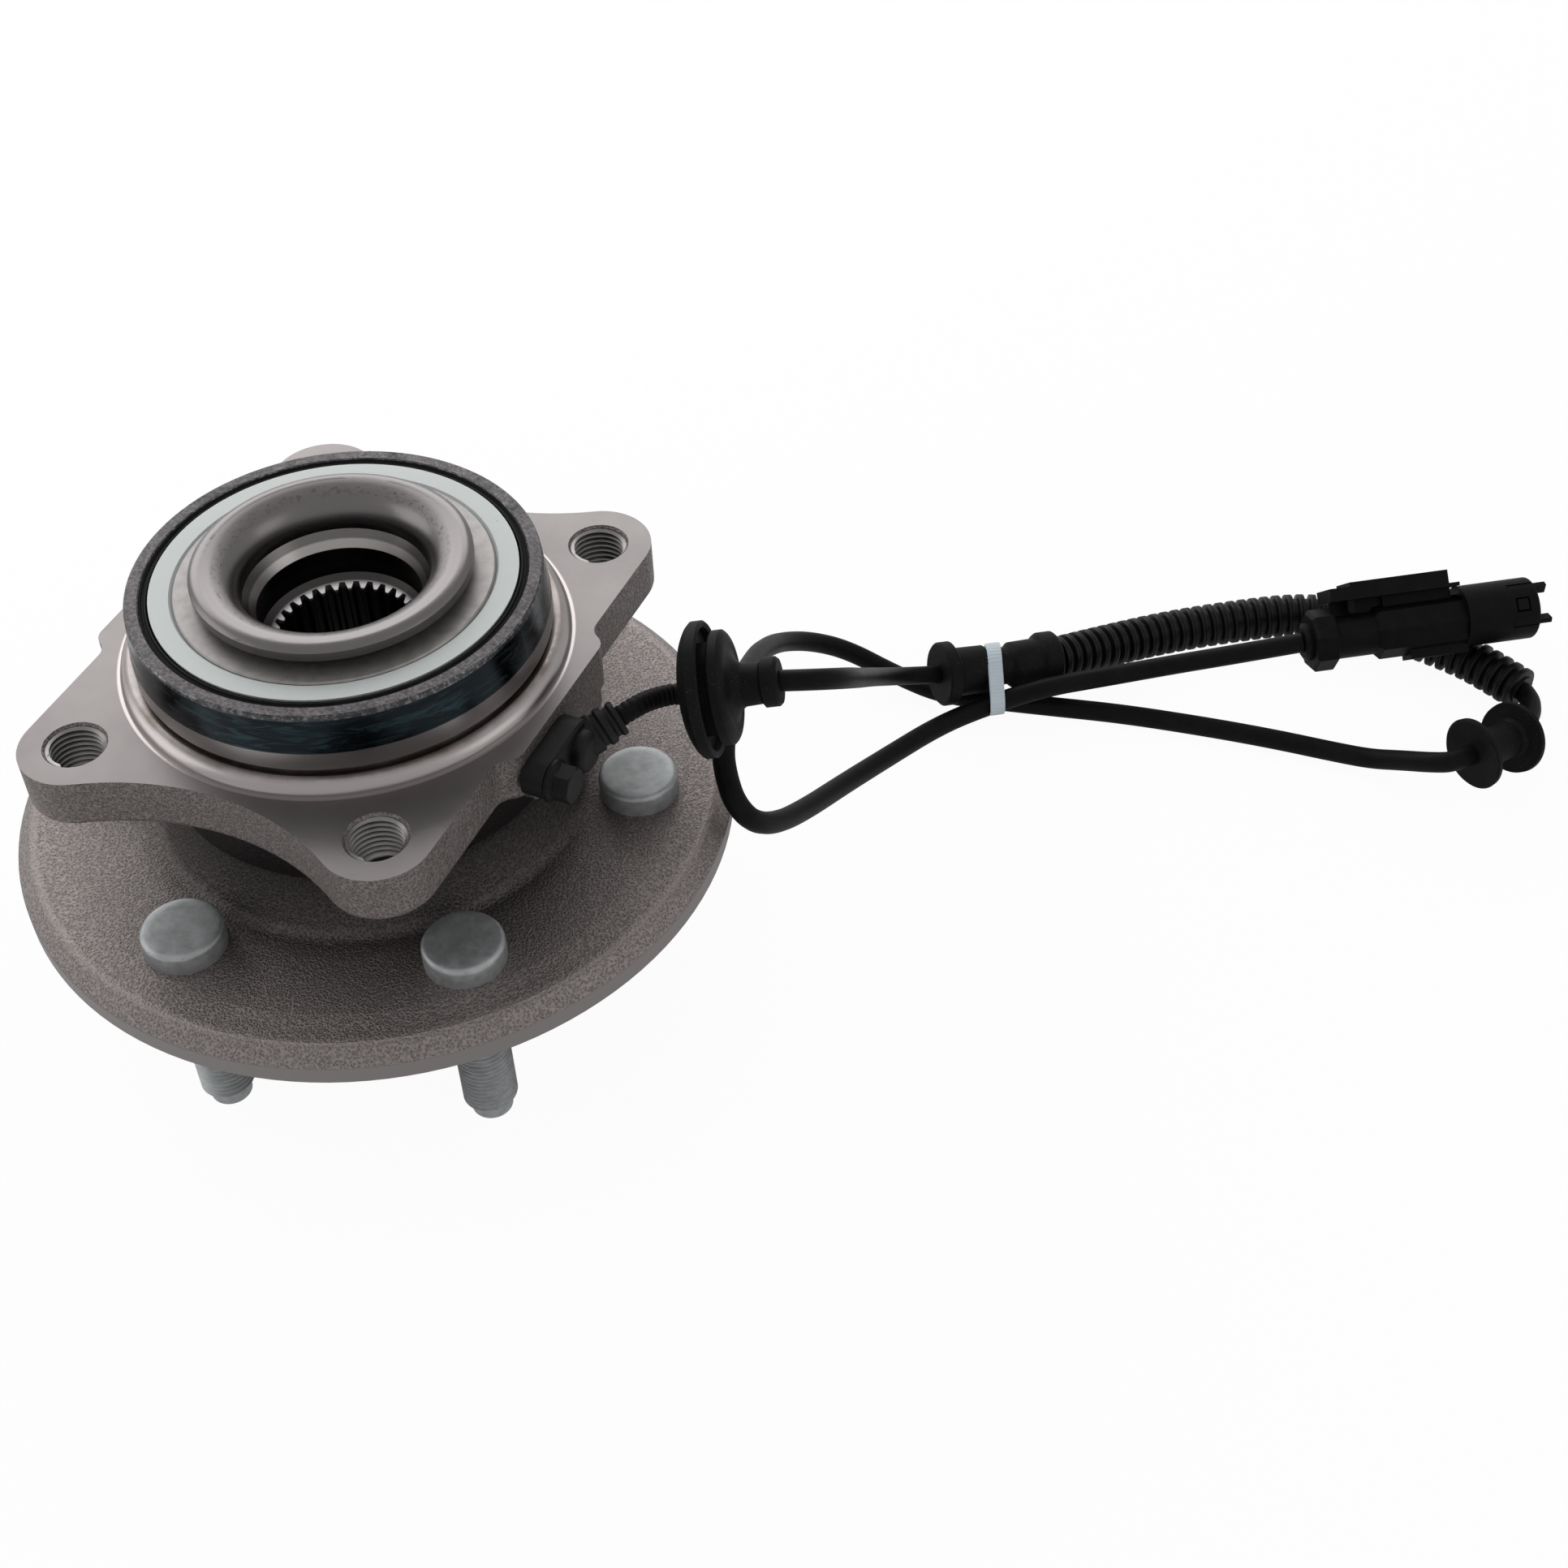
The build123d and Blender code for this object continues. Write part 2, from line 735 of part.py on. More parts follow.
def sensor_bush():
    """Steel bush in the sensor's flange."""
    bush = turned(
        (bush_r, 0),
        (bush_r + bush_wall, 0),
        (bush_r + bush_wall, sensor_flange_t),
        (bush_r, sensor_flange_t),
    )
    return screw_place() * bush


def sensor_bolt():
    """Flanged hexagon bolt of the sensor."""
    head_z = sensor_flange_t
    washer = turned(
        (0, head_z),
        (screw_head_r + 0.6, head_z),
        (screw_head_r + 0.6, head_z + 0.8),
        (screw_head_r - 0.4, head_z + 1.7),
        (0, head_z + 1.7),
    )
    six = RegularPolygon(screw_head_r, 6, major_radius=True)
    hexagon = extrude(Pos(0, 0, head_z + 1) * six, screw_head_h - 1)
    hexagon &= turned(
        (0, head_z),
        (screw_head_r + 1, head_z),
        (screw_head_r + 1, head_z + screw_head_h - 1.2),
        (screw_head_r - 0.6, head_z + screw_head_h),
        (0, head_z + screw_head_h),
    )
    shank = Cylinder(screw_r, head_z + screw_reach, align=(Align.CENTER, Align.CENTER, Align.MAX))
    return screw_place() * (washer + hexagon + Pos(0, 0, head_z) * shank)


def sensor_o_ring():
    """Sealing ring in the probe's groove."""
    mid_r = probe_r + 0.15 - ring_cord_r
    ring = Torus(mid_r, ring_cord_r)
    return boss_place(probe_y) * Pos(0, 0, o_ring_z) * ring


def corner_radii(route):
    """Radius at each corner of a route: as large as its two runs allow."""
    points = [Vector(p) for p in route]
    radii = []
    for before, corner, after in zip(points, points[1:], points[2:]):
        run_in = corner - before
        run_out = after - corner
        turn = radians(run_in.get_angle(run_out))
        radii.append(0.45 * min(run_in.length, run_out.length) / tan(turn / 2))
    return radii


def tube(name, route, radius):
    """A cable along a route of straight runs and tangent arcs."""
    radii = corner_radii(route)
    path = FilletPolyline(*route, radius=radii)
    start = Plane(origin=route[0], z_dir=Vector(route[1]) - Vector(route[0]))
    solid = sweep(start * Circle(radius), path=path)
    ratio = solid.volume / (pi * radius**2 * path.length)
    tightest = min(radii) / (2 * radius)
    print(f"{name}: length {path.length:.1f}, volume ratio {ratio:.4f}, tightest {tightest:.2f} diameters")
    print("  radii", " ".join(f"{r:.0f}" for r in radii))
    return solid


def panel_grommet():
    """Rubber cup grommet: a domed cup, a groove for the body panel, a disc and a collared neck."""
    body = turned(
        (0, 0),
        (6.5, 0),
        ((11.5, 0.5), (cup_r - 1, 2.4)),
        (cup_r, 3.4),
        (cup_r, 5.8),
        (cup_r - 0.5, 6.3),
        (cup_r - 1.6, 5.9),
        (cup_r - 2.0, 4.2),
        (disc_r - 2.6, 3.9),
        (disc_r - 2.6, 7.6),
        (disc_r - 0.4, 7.8),
        (disc_r, 8.3),
        (disc_r, 10.3),
        ((disc_r - 1.0, 11.2), (disc_r - 3.6, 11.7)),
        ((grommet_neck_r + 1.2, 12.7), (grommet_neck_r, 14.2)),
        (grommet_neck_r - 0.2, grommet_len - 4.6),
        (grommet_neck_r + 0.8, grommet_len - 3.9),
        (grommet_neck_r + 0.8, grommet_len - 0.7),
        (grommet_neck_r + 0.2, grommet_len),
        (0, grommet_len),
    )
    return aimed(grommet_back, grommet_axis) * body


def sleeve_grommet():
    """Rubber sleeve with a collar at each end and a waist for the tie."""
    tie_z = sleeve_len / 2
    end = sleeve_len
    small_collar = sleeve_collar_r - 0.9
    body = turned(
        (0, 0),
        (sleeve_collar_r - 0.6, 0),
        (sleeve_collar_r, 0.6),
        (sleeve_collar_r, 3.6),
        (sleeve_r + 0.2, 5.2),
        (sleeve_r, tie_z - tie_w / 2 - 2.2),
        (sleeve_r - sleeve_waist, tie_z - tie_w / 2 - 0.6),
        (sleeve_r - sleeve_waist, tie_z + tie_w / 2 + 0.6),
        (sleeve_r - 0.2, tie_z + tie_w / 2 + 2.0),
        (sleeve_r, end - 6.2),
        (small_collar - 0.5, end - 5.4),
        (small_collar, end - 4.6),
        (small_collar, end - 0.7),
        (small_collar - 0.6, end),
        (0, end),
    )
    return aimed(sleeve_start, sleeve_axis) * body


def spool_grommet():
    """Rubber spool with two thin round flanges for a bracket."""
    flange = turned(
        (0, 0),
        (spool_flange_r - 0.5, 0),
        (spool_flange_r, 0.5),
        (spool_flange_r - 0.2, spool_flange_t),
        (spool_neck_r + 0.8, spool_flange_t + 0.5),
        (spool_neck_r, spool_flange_t + 1.8),
        (0, spool_flange_t + 1.8),
    )
    inset = spool_flange_t + 1.0
    neck = Cylinder(spool_neck_r, 2 * (spool_half - inset))
    body = aimed(spool_mid, spool_axis) * neck + aimed(spool_near, near_axis) * flange
    return body + aimed(spool_far, -spool_axis) * flange


def nearest_on(route, origin, axis):
    """Where a route crosses the plane through origin, square to axis, nearest to origin."""
    found = []
    for a, b in zip(route, route[1:]):
        start = Vector(a) - origin
        run = Vector(b) - Vector(a)
        across = run.dot(axis)
        share = -start.dot(axis) / across if abs(across) > 1e-6 else -1
        if 0 <= share <= 1:
            found.append(Vector(a) + run * share)
    return sorted(found, key=lambda p: (p - origin).length)


def cable_tie():
    """Tie round the sleeve and the two cable runs beside it, with its head behind."""
    centre = sleeve_start + sleeve_axis * (sleeve_len / 2)
    place = Plane(origin=centre, x_dir=(-sleeve_axis.Y, sleeve_axis.X, 0), z_dir=sleeve_axis)
    runs = [place.to_local_coords(p) for p in nearest_on(loop_route, centre, sleeve_axis)[:2]]
    inside = [(0.0, 0.0, sleeve_r - sleeve_waist + 0.15)] + [(p.X, p.Y, cable_r + strand_gap) for p in runs]
    inner = make_hull([edge for x, y, r in inside for edge in (Pos(x, y) * Circle(r)).edges()])
    outer = make_hull([edge for x, y, r in inside for edge in (Pos(x, y) * Circle(r + tie_t)).edges()])
    band = extrude(outer - inner, tie_w / 2, both=True)
    head = Pos(sleeve_r - sleeve_waist + tie_t + 1.8, 0, 0) * Box(4.4, 6.0, tie_w + 1.4)
    head -= extrude(outer, tie_w, both=True)
    return place.location * (band + head)


def connector_place(along=0.0):
    """A place on the connector's axis. Z runs to its mouth, Y towards its rail."""
    across = Vector(-connector_axis.Y, connector_axis.X, 0)
    up = across * sin(radians(connector_roll)) + Vector(0, 0, cos(radians(connector_roll)))
    side = up.cross(connector_axis)
    return Plane(origin=connector_start + connector_axis * along, x_dir=side, z_dir=connector_axis).location


def connector_boot():
    """Retainer behind the connector: a wire collar, an eight-sided disc and the rear barrel."""
    collar = turned(
        (0, 0),
        (cable_r + 1.4, 0),
        (cable_r + 2.6, 0.8),
        (cable_r + 2.6, boot_z + 0.2),
        (0, boot_z + 0.2),
    )
    disc = extrude(Pos(0, 0, boot_z) * RegularPolygon(boot_disc_r, 8, major_radius=True), boot_disc_t)
    disc = chamfer(disc.edges().group_by(Axis.Z)[0] + disc.edges().group_by(Axis.Z)[-1], 0.8)
    barrel = Pos(0, 0, barrel_z - 0.2) * Cylinder(
        boot_barrel_r, housing_z - barrel_z + 0.2, align=(Align.CENTER, Align.CENTER, Align.MIN)
    )
    cavity = Pos(0, 0, housing_z - seal_plug_len - 0.1) * Cylinder(
        boot_barrel_r - boot_wall, seal_plug_len + 1, align=(Align.CENTER, Align.CENTER, Align.MIN)
    )
    return connector_place() * (collar + disc + barrel - cavity)


def connector_body():
    """Housing with its clip rail, and the open shroud that the mating plug enters."""
    eight = RegularPolygon(housing_r, 8, major_radius=True)
    housing = extrude(Pos(0, 0, housing_z) * eight, shroud_z - housing_z)
    housing = chamfer(housing.edges().group_by(Axis.Z)[0], 1.4)
    shroud = Pos(0, shroud_lift, shroud_z) * Cylinder(
        shroud_r, mouth_z - shroud_z, align=(Align.CENTER, Align.CENTER, Align.MIN)
    )
    shroud = fillet(shroud.edges().group_by(Axis.Z)[-1], 1.0)
    pocket = Pos(0, shroud_lift, mouth_z - shroud_depth) * Cylinder(
        shroud_r - shroud_wall, shroud_depth + 1, align=(Align.CENTER, Align.CENTER, Align.MIN)
    )
    rail_h = rail_high - rail_low
    upright = (Align.CENTER, Align.MIN, Align.MIN)
    rail = Pos(0, rail_low, rail_z) * Box(rail_w, rail_h, rail_len, align=upright)
    rail -= Pos(0, rail_high - rail_step, 0) * Box(rail_w + 1, 4, rail_step_z, align=upright)
    end_h = rail_h - rail_end_step
    rail += Pos(0, rail_low, rail_z + rail_len) * Box(rail_w - 2, end_h, 3.6, align=upright)
    stem = Pos(0, 0, housing_z + 4) * Box(3.6, rail_low + 1, shroud_z - housing_z - 6, align=upright)
    leg_y = boot_barrel_r + run_gap
    leg = Pos(0, leg_y, rail_step_z - 1) * Box(rail_w - 2, rail_low - leg_y + 1, 2.0, align=upright)
    rib = Pos(0, -9.2, shroud_z - 17) * Box(7.0, 5.0, 17.5, align=upright)
    disc_room = Pos(0, 0, -1) * Cylinder(
        boot_disc_r + run_gap, barrel_z + run_gap + 1, align=(Align.CENTER, Align.CENTER, Align.MIN)
    )
    body = housing + shroud + stem + leg + rail + rib - pocket - disc_room
    inner = shroud_r - shroud_wall - 0.4
    upright = (Align.MIN, Align.CENTER, Align.MAX)
    for a in arm_angles:
        body -= around_shroud(a, inner, mouth_z + 1) * Box(4, arm_w + 0.4, 9.5, align=upright)
    window = around_shroud(window_angle, inner, mouth_z - 3.2) * Box(4, window_w, window_w, align=upright)
    return connector_place() * (body - window)


def around_shroud(angle, radius, along):
    """A place at an angle round the shroud, with X pointing out of it."""
    return Pos(0, shroud_lift, along) * Rot(0, 0, angle) * Pos(radius, 0, 0)


def connector_lock():
    """Terminal lock: a plate at the root of the shroud, two arms that stand out of its mouth, one latch."""
    root = mouth_z - shroud_depth
    inner = shroud_r - shroud_wall - 0.2
    plate = Pos(0, shroud_lift, root) * Cylinder(inner, 2.0, align=(Align.CENTER, Align.CENTER, Align.MIN))
    for x in (-pin_space / 2, pin_space / 2):
        plate -= Pos(x, shroud_lift, root) * Cylinder(pin_r + 0.2, 6)
    upright = (Align.MIN, Align.CENTER, Align.MIN)
    for a in arm_angles:
        plate += around_shroud(a, inner - 1.6, root) * Box(1.4, arm_w, shroud_depth + arm_reach, align=upright)
        top = mouth_z - 8.2
        plate += around_shroud(a, inner - 1.6, top) * Box(2.9, arm_w, 8.2 + arm_reach, align=upright)
    latch_w = window_w - 1.0
    low = mouth_z - 3.7 - latch_w
    plate += around_shroud(window_angle, inner - 1.6, root) * Box(1.4, latch_w, low + latch_w - root, align=upright)
    plate += around_shroud(window_angle, inner - 1.6, low) * Box(3.2, latch_w, latch_w, align=upright)
    return connector_place() * plate


def connector_pins():
    """Two terminals in the shroud."""
    root = mouth_z - shroud_depth
    pin = Cylinder(pin_r, 8.5, align=(Align.CENTER, Align.CENTER, Align.MIN))
    pin = chamfer(pin.edges().group_by(Axis.Z)[-1], 0.5)
    return [connector_place() * Pos(x, shroud_lift, root) * pin for x in (-pin_space / 2, pin_space / 2)]


def connector_seal():
    """Ribbed wire seal inside the rear barrel, with a hole for each wire."""
    top = housing_z - press_gap
    outer = boot_barrel_r - boot_wall - 0.1
    seal = turned(
        (0, top - seal_plug_len),
        (outer - 0.5, top - seal_plug_len),
        (outer, top - 0.8 * seal_plug_len),
        (outer - 0.5, top - 0.6 * seal_plug_len),
        (outer, top - 0.4 * seal_plug_len),
        (outer - 0.5, top - 0.2 * seal_plug_len),
        (outer, top),
        (0, top),
    )
    for x in (-pin_space / 2, pin_space / 2):
        seal -= Pos(x, 0, top) * Cylinder(wire_r, 3 * seal_plug_len)
    return connector_place() * seal


half_step = 180 / ball_count
parts = {
    "outer_ring": outer_ring(),
    "hub_spindle": hub_spindle(),
    "inner_ring": inner_ring(),
    "balls_inboard": ball_row(row_in, 0.0),
    "balls_outboard": ball_row(row_out, half_step),
    "cage_inboard": cage(row_in, 1, 0.0),
    "cage_outboard": cage(row_out, -1, half_step),
    "tone_ring": tone_ring(),
    "slinger_inboard": slinger_inboard(),
    "seal_case_inboard": seal_case_inboard(),
    "seal_lip_inboard": seal_lip_inboard(),
    "seal_case_outboard": seal_case_outboard(),
    "seal_lip_outboard": seal_lip_outboard(),
    "wheel_studs": wheel_studs(),
    "sensor_body": sensor_body(),
    "sensor_bush": sensor_bush(),
    "sensor_bolt": sensor_bolt(),
    "sensor_o_ring": sensor_o_ring(),
    "sensor_lead": tube("sensor_lead", lead_route, lead_r),
    "panel_grommet": panel_grommet(),
    "cable_drop": tube("cable_drop", drop_route, lead_r),
    "sleeve_grommet": sleeve_grommet(),
    "cable_tie": cable_tie(),
    "conduit": tube("conduit", conduit_route, conduit_r),
    "cable_elbow": tube("cable_elbow", elbow_route, cable_r),
    "spool_grommet": spool_grommet(),
    "cable_loop": tube("cable_loop", loop_route, cable_r),
    "connector_boot": connector_boot(),
    "connector_body": connector_body(),
    "connector_lock": connector_lock(),
    "connector_pins": connector_pins(),
    "connector_seal": connector_seal(),
}

os.makedirs("parts", exist_ok=True)
for name, shape in parts.items():
    solids = shape if isinstance(shape, list) else [shape]
    export_step(Compound(children=[s for shape in solids for s in shape.solids()]), f"parts/{name}.step")
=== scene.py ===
from math import cos, pi, radians, sin

import bmesh
import bpy
from bpy.props import FloatProperty, FloatVectorProperty, PointerProperty
from mathutils import Matrix, Vector


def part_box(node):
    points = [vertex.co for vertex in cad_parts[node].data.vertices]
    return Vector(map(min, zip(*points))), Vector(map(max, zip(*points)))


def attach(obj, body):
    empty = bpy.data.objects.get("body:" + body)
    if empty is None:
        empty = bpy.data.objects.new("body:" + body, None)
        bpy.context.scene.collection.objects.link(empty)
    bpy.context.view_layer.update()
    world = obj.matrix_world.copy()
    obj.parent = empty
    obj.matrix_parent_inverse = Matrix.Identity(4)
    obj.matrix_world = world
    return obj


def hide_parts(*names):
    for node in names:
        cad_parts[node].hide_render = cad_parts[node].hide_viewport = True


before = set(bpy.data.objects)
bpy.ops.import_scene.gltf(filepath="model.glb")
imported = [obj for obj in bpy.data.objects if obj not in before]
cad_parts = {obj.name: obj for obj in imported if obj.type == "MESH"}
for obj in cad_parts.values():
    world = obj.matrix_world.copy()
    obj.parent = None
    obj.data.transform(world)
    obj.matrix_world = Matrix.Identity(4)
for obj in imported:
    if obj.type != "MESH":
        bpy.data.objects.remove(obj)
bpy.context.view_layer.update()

bl_info = {
    "name": "Wheel hub bearing",
    "version": (1, 0, 0),
    "blender": (4, 5, 0),
    "location": "View3D > Sidebar > Hub",
    "description": "Dresses a wheel hub bearing with its speed sensor and harness",
    "category": "Object",
}

MM = 0.001
WELD = 1e-6  # vertices nearer than this are one
THREAD_DEPTH = 0.85 * MM
THREAD_STEPS = 48  # round one turn

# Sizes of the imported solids, in millimetres, where a finish or an added piece has to line up
FLANGE_R = 90.75
FLANGE_BAND = 5.4  # height of the turned rim
CREST_R = 86.6  # of the ridge near the rim
NECK_TOP_R = 47.0
PLATE_TOP = 56.5
PLATE_UNDER = 43.0
BEAD_R = 54.0  # of the polished bead at the foot of the barrel
UNDERCUT_R = 52.6
CUT_Z = 60.0  # where the undercut meets the bead
BAND_TOP = 66.3  # where the bright band ends and the blued one starts
END_Z = 76.6  # end face of the barrel
BOLT_X = 40.0
BOLT_Y = 55.0
BOLT_R = 7.0
STUD_CIRCLE = 67.5
STUD_FIRST = 18.2  # degrees from +X
STUD_COUNT = 6
STUD_R = 6.95
STUD_KNURL_R = 7.15
STUD_HEAD_R = 10.0
STUD_HEAD_H = 6.0
STUD_TIP_R = 5.2
STUD_TIP_LEN = 4.5
STUD_THREAD_TOP = -4.5
INSIDE_R = 34.4  # everything nearer to the axis on the hub is machined
BORE_R = 19.7
MOUTH_R = 22.2
SPLINE_ROOT_R = 18.2
SPLINE_TIP_R = 17.0
SPLINE_TOP = 59.0

# The sleeve and the connector, in metres
SLEEVE_START = Vector((0.1055, 0.1299, -0.0288))
SLEEVE_AXIS = Vector((0.733, 0.665, -0.149)).normalized()
SLEEVE_LEN = 0.037
CONNECTOR_START = Vector((0.2001, 0.1773, -0.025))
CONNECTOR_AXIS = Vector((0.8404, 0.5419, 0.0)).normalized()
CONNECTOR_ROLL = radians(45)
SHROUD_LIFT = 1.3 * MM  # of the shroud's axis, towards the rail
LATCH_ANGLE = radians(175)  # of the latch's window, about the shroud

# The camera, in metres, with the directions of its picture
CAMERA_PLACE = (0.2661, -0.3353, 0.4131)
CAMERA_RIGHT = Vector((0.9202, 0.39063, -0.02508))
CAMERA_DOWN = Vector((0.2584, -0.65432, -0.7107))
CAMERA_AHEAD = Vector((-0.29403, 0.64751, -0.70305))

# The tie's band lies square to this
TIE_NORMAL = Vector((0.9073, 0.4233, 0.0105))
TIE_STEPS = 240  # of its outline, before the ribs
TIE_RIB = 1.0 * MM
TIE_BACK = radians(-38)  # where its head sits, about the sleeve

# Painted shade laid under the plate, on the outer ring's nose and on the flange by the neck
PAINTED_SHADE = (0.012, 0.011, 0.011)

# Routes of the cable, the conduit and the sensor's lead, in metres
DROP = [
    (0.10126, 0.02776, 0.05329),
    (0.1083, 0.0303, 0.0538),
    (0.1123, 0.0361, 0.0506),
    (0.1125, 0.0431, 0.0450),
    (0.1099, 0.0537, 0.0353),
    (0.1056, 0.0680, 0.0219),
    (0.1009, 0.0846, 0.0066),
    (0.0973, 0.1009, -0.0081),
    (0.0963, 0.1106, -0.0165),
    (0.0972, 0.1183, -0.0225),
    (0.0999, 0.1243, -0.0264),
    (0.1055, 0.1299, -0.0288),
]
CONDUIT = [
    (0.13260, 0.15448, -0.03431),
    (0.1443, 0.1702, -0.0382),
    (0.1607, 0.1862, -0.0400),
    (0.1785, 0.1984, -0.0400),
    (0.1920, 0.2065, -0.0400),
    (0.2032, 0.2100, -0.0400),
    (0.2152, 0.2115, -0.0400),
    (0.2279, 0.2096, -0.0400),
    (0.2405, 0.2070, -0.0400),
    (0.2507, 0.2036, -0.0400),
    (0.2628, 0.1972, -0.0400),
]
ELBOW = [
    (0.2628, 0.1972, -0.0400),
    (0.2645, 0.1953, -0.0398),
    (0.2662, 0.1910, -0.0393),
    (0.2667, 0.1855, -0.0384),
    (0.2656, 0.1748, -0.0366),
    (0.26409, 0.17207, -0.03582),
]
LOOP = [
    (0.25441, 0.15502, -0.03098),
    (0.2507, 0.1500, -0.0307),
    (0.2452, 0.1489, -0.0319),
    (0.2360, 0.1525, -0.0375),
    (0.2282, 0.1550, -0.0420),
    (0.2185, 0.1554, -0.0433),
    (0.2004, 0.1543, -0.0433),
    (0.1810, 0.1522, -0.0433),
    (0.1566, 0.1486, -0.0433),
    (0.1372, 0.1439, -0.0430),
    (0.1214, 0.1389, -0.0416),
    (0.1044, 0.1364, -0.0426),
    (0.0880, 0.1396, -0.0425),
    (0.0739, 0.1377, -0.0358),
    (0.0653, 0.1304, -0.0291),
    (0.0610, 0.1186, -0.0210),
    (0.0628, 0.1030, -0.0100),
    (0.0674, 0.0849, 0.0021),
    (0.0746, 0.0595, 0.0156),
    (0.0802, 0.0418, 0.0226),
    (0.0836, 0.0302, 0.0220),
    (0.0870, 0.0247, 0.0188),
    (0.0912, 0.0203, 0.0153),
    (0.0954, 0.0212, 0.0093),
    (0.0976, 0.0309, 0.0007),
    (0.0982, 0.0483, -0.0101),
    (0.0992, 0.0719, -0.0224),
    (0.1030, 0.0960, -0.0322),
    (0.1095, 0.1160, -0.0366),
    (0.1173, 0.1280, -0.0374),
    (0.1335, 0.1391, -0.0326),
    (0.1497, 0.1512, -0.0330),
    (0.1668, 0.1618, -0.0315),
    (0.1847, 0.1693, -0.0275),
    (0.2001, 0.1773, -0.0250),
]
LEAD = [
    (0.06921, 0.00584, 0.04965),
    (0.0713, 0.0084, 0.0507),
    (0.0730, 0.0124, 0.0503),
    (0.0750, 0.0162, 0.0492),
    (0.0774, 0.0189, 0.0487),
    (0.08012, 0.0200, 0.0486),
]


def colour_property(name, description, default):
    return FloatVectorProperty(
        name=name, description=description, default=default, size=3, min=0, max=1, subtype="COLOR"
    )


def length_property(name, description, default):
    return FloatProperty(
        name=name, description=description, default=default, min=0, subtype="DISTANCE", unit="LENGTH"
    )


def power_property(name, description, default):
    return FloatProperty(name=name, description=description, default=default, min=0, unit="POWER")


class HubSteelSettings(bpy.types.PropertyGroup):
    """Colours of the steel pieces, their grain and their threads."""

    blasted: colour_property(
        "Blasted steel", "Shot-blasted skin of the forgings", (0.185, 0.165, 0.159)
    )
    machined: colour_property(
        "Machined steel", "Faces cut on the lathe or the mill", (0.225, 0.208, 0.206)
    )
    ground: colour_property("Ground steel", "Ground rings of the bearing", (0.42, 0.398, 0.392))
    blued: colour_property("Blued band", "Heat-blued band of the barrel", (0.012, 0.016, 0.019))
    teal: colour_property(
        "Teal patches", "Worn blue-green patches on the blued band", (0.035, 0.060, 0.066)
    )
    tint: colour_property("Heat tint", "Brown heat stain in the undercut", (0.105, 0.080, 0.060))
    zinc: colour_property("Zinc", "Dull zinc plating of the studs", (0.40, 0.415, 0.42))
    slinger: colour_property("Slinger plate", "Pale plating of the slinger", (0.44, 0.465, 0.46))
    grain: length_property("Blasting grain", "Size of the pits that blasting leaves", 0.00065)
    thread_pitch: length_property("Thread pitch", "Pitch of the studs' and the holes' threads", 0.0015)


class HubHarnessSettings(bpy.types.PropertyGroup):
    """Colours and sizes of the harness."""

    jacket: colour_property("Cable jacket", "Black jacket of the cable", (0.0040, 0.0037, 0.0041))
    rubber: colour_property("Rubber", "Moulded rubber of the grommets", (0.0048, 0.0048, 0.0054))
    plastic: colour_property(
        "Plastic", "Plastic of the sensor, the conduit and the connector", (0.0028, 0.0027, 0.0030)
    )
    tie: colour_property("Tie", "Pale nylon of the cable tie", (0.62, 0.70, 0.76))
    dust: colour_property("Dust", "Pale dust on the rubber", (0.28, 0.27, 0.25))
    cable_radius: length_property("Cable radius", "Radius of the round cable", 0.0029)
    lead_radius: length_property(
        "Lead radius", "Radius of the sensor's ribbed lead and of the cable on to the sleeve", 0.0026
    )
    conduit_radius: length_property("Conduit radius", "Radius over the ribs of the conduit", 0.0064)
    conduit_pitch: length_property("Conduit pitch", "Distance between two ribs of the conduit", 0.0035)


class HubStageSettings(bpy.types.PropertyGroup):
    """Floor, lamps and camera."""

    floor: colour_property("Floor", "Colour of the floor and of the backdrop", (0.9, 0.9, 0.9))
    key_power: power_property("Key lamp", "Power of the large lamp behind", 9.2)
    fill_power: power_property("Fill lamp", "Power of the lamp on the left", 2.2)
    right_power: power_property("Right lamp", "Power of the small lamp on the right", 0.7)
    ambient: FloatProperty(
        name="Ambient", description="Strength of the soft light all round", default=0.62, min=0
    )
    lens: FloatProperty(
        name="Lens", description="Focal length on a 36 mm sensor", default=52.083, unit="CAMERA"
    )


class Value:
    """One socket of a finish. Arithmetic on it adds Math nodes."""

    def __init__(self, finish, socket):
        self.finish = finish
        self.socket = socket

    def maths(self, operation, *terms):
        return self.finish.node("ShaderNodeMath", {"operation": operation}, dict(enumerate(terms)))

    def __add__(self, other):
        return self.maths("ADD", self, other)

    __radd__ = __add__

    def __sub__(self, other):
        return self.maths("SUBTRACT", self, other)

    def __rsub__(self, other):
        return self.maths("SUBTRACT", other, self)

    def __mul__(self, other):
        return self.maths("MULTIPLY", self, other)

    __rmul__ = __mul__

    def __pow__(self, other):
        return self.maths("POWER", self, other)

    def ramp(self, low, high):
        """0 at low, 1 at high and straight between them."""
        return self.finish.node("ShaderNodeMapRange", {}, {0: self, 1: low, 2: high, 3: 0.0, 4: 1.0})

    def band(self, low, high, soft=0.1):
        """1 between low and high, with soft edges."""
        return self.ramp(low - soft, low + soft) * (1 - self.ramp(high - soft, high + soft))


